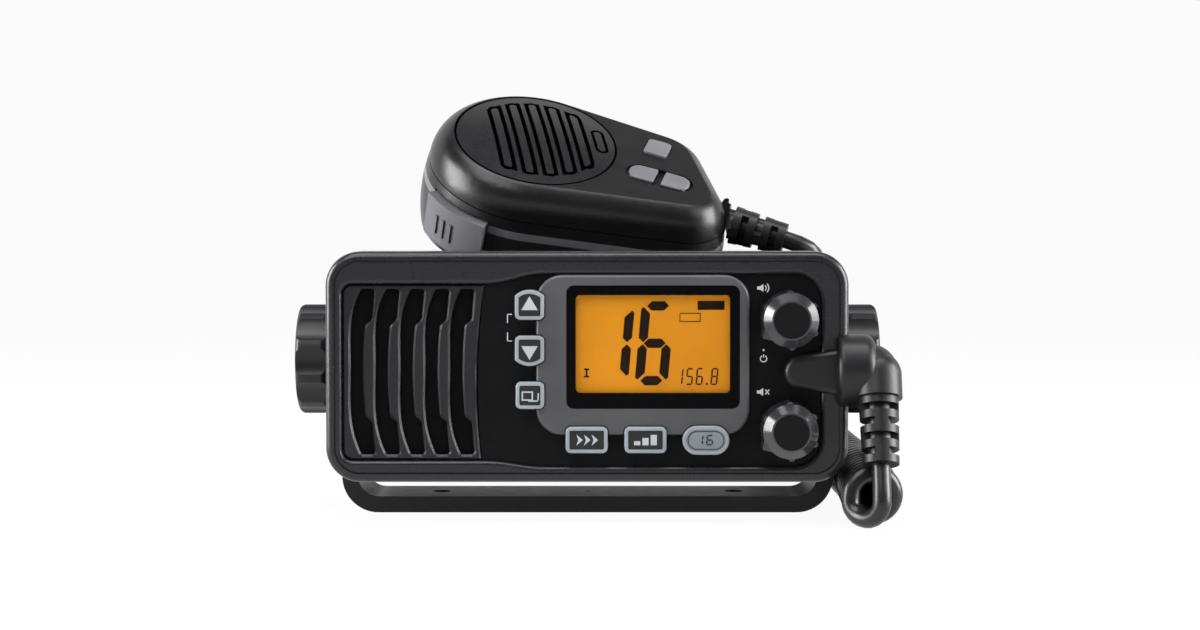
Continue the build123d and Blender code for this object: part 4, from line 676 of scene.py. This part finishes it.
# ------------------------------------------------------------------ microphone's key pair
def mic_key_cap(name, left, right, rounded_side, node, body):
    """Key cap with one end half round, and its stem, in the microphone's frame."""
    low, high, top, foot = -6.0, 2.0, 0.5, -0.35
    middle, r = (low + high) / 2, (high - low) / 2 - 0.15
    outline = []
    for corner in range(4):
        side, up = ((1, -1), (1, 1), (-1, 1), (-1, -1))[corner]
        big = side == rounded_side
        radius = r - 0.4 if big else 0.7
        x = (right if side > 0 else left) - side * radius
        z = middle + up * (r - radius)
        for i in range(9):
            a = math.radians((-90, 0, 90, 180)[corner] + 90 * i / 8)
            outline.append((x + radius * math.cos(a), z + radius * math.sin(a), x, z))

    def at(u, v, w):
        return Vector(MIC_CENTRE) * MM + (MIC_X * u + MIC_Y * v + Vector(MIC_NORMAL) * w) * MM

    bm = bmesh.new()
    rows = []
    for w, draw in ((foot, 0.0), (top - 0.35, 0.0), (top - 0.1, 0.06), (top, 0.3)):
        rows.append([bm.verts.new(at(u + (cu - u) * draw, v + (cv - v) * draw, w))
                     for u, v, cu, cv in outline])
    count = len(outline)
    for a, b in zip(rows, rows[1:]):
        for i in range(count):
            j = (i + 1) % count
            bm.faces.new((a[i], a[j], b[j], b[i])).smooth = True
    bm.faces.new(rows[0][::-1])
    bm.faces.new(rows[-1])
    x = (left + right) / 2
    stem = [(x - 3.5, -5.4), (x + 3.5, -5.4), (x + 3.5, 1.4), (x - 3.5, 1.4)]
    lower = [bm.verts.new(at(u, v, -5.8)) for u, v in stem]
    upper = [bm.verts.new(at(u, v, foot + 0.2)) for u, v in stem]
    bm.faces.new(lower[::-1])
    bm.faces.new(upper)
    for i in range(4):
        j = (i + 1) % 4
        bm.faces.new((lower[i], lower[j], upper[j], upper[i]))
    bmesh.ops.recalc_face_normals(bm, faces=bm.faces)
    ob = add_mesh(name, bm)
    ob.data.materials.append(M["mic_key"])
    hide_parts(node)
    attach(ob, body)


mic_key_cap("left_key_cap", 31.2, 39.7, -1, "mic_key_left", "mic_left_key")
mic_key_cap("right_key_cap", 42.1, 50.6, 1, "mic_key_right", "mic_right_key")


# ------------------------------------------------------------------ stage and light
def sweep_stage():
    """Floor that curves up into a backdrop."""
    prof = [(-3.0, 0.0)]
    for i in range(13):
        a = math.pi / 2 * i / 12
        prof.append((1.6 + 0.9 * math.sin(a), 0.9 - 0.9 * math.cos(a)))
    prof.append((2.5, 4.0))
    bm = bmesh.new()
    rows = [[bm.verts.new((x, y, z)) for x in (-5.0, 5.0)] for y, z in prof]
    for a, b in zip(rows, rows[1:]):
        f = bm.faces.new((a[0], a[1], b[1], b[0]))
        f.smooth = True
    return add_mesh("floor", bm)


def stage_material():
    """Pale floor that the camera sees as nearly white."""
    m = Mat("floor_white", (0.8, 0.8, 0.8, 1), 0.8, spec=0.1)
    m.vary(2.0, 0.01)
    path = m.node("ShaderNodeLightPath")
    glow = m.node("ShaderNodeEmission")
    glow.inputs["Color"].default_value = (1, 1, 1, 1)
    glow.inputs["Strength"].default_value = 1.0
    mix = m.node("ShaderNodeMixShader")
    seen = m.math("MAXIMUM", path.outputs["Is Camera Ray"], path.outputs["Is Transmission Ray"])
    seen = m.math("MAXIMUM", seen, path.outputs["Is Glossy Ray"])
    m.link(m.math("MULTIPLY", seen, 0.94), mix.inputs["Fac"])
    m.link(m.b.outputs["BSDF"], mix.inputs[1])
    m.link(glow.outputs["Emission"], mix.inputs[2])
    m.link(mix.outputs["Shader"], m.t.nodes["Material Output"].inputs["Surface"])
    return m.m


floor = sweep_stage()
floor.data.materials.append(stage_material())

world = bpy.data.worlds.new("world")
world.use_nodes = True
scene.world = world
world.node_tree.nodes["Background"].inputs["Color"].default_value = (0.94, 0.95, 0.97, 1)
world.node_tree.nodes["Background"].inputs["Strength"].default_value = 0.1


def area_light(name, place, aim, size, power, size_y=None):
    """Soft lamp that looks at a point."""
    li = bpy.data.lights.new(name, "AREA")
    li.energy = power
    li.size = size
    if size_y:
        li.shape = "RECTANGLE"
        li.size_y = size_y
    ob = bpy.data.objects.new(name, li)
    scene.collection.objects.link(ob)
    ob.location = place
    ob.rotation_euler = (Vector(aim) - Vector(place)).to_track_quat("-Z", "Y").to_euler()


area_light("key_light", (-0.5, -0.9, 1.15), (0, 0, 0.05), 0.9, 8.5, 0.6)
area_light("fill_light", (0.95, -0.7, 0.8), (0, 0, 0.05), 0.8, 4.0)
area_light("top_light", (0.0, -0.25, 1.15), (0, 0, 0.06), 1.1, 10.0, 0.5)
area_light("left_rim", (-0.9, -0.12, 0.25), (0, -0.03, 0.05), 0.5, 17.0, 0.7)
area_light("right_rim", (0.9, -0.12, 0.25), (0, -0.03, 0.05), 0.5, 17.0, 0.7)

scene.view_settings.view_transform = "Standard"
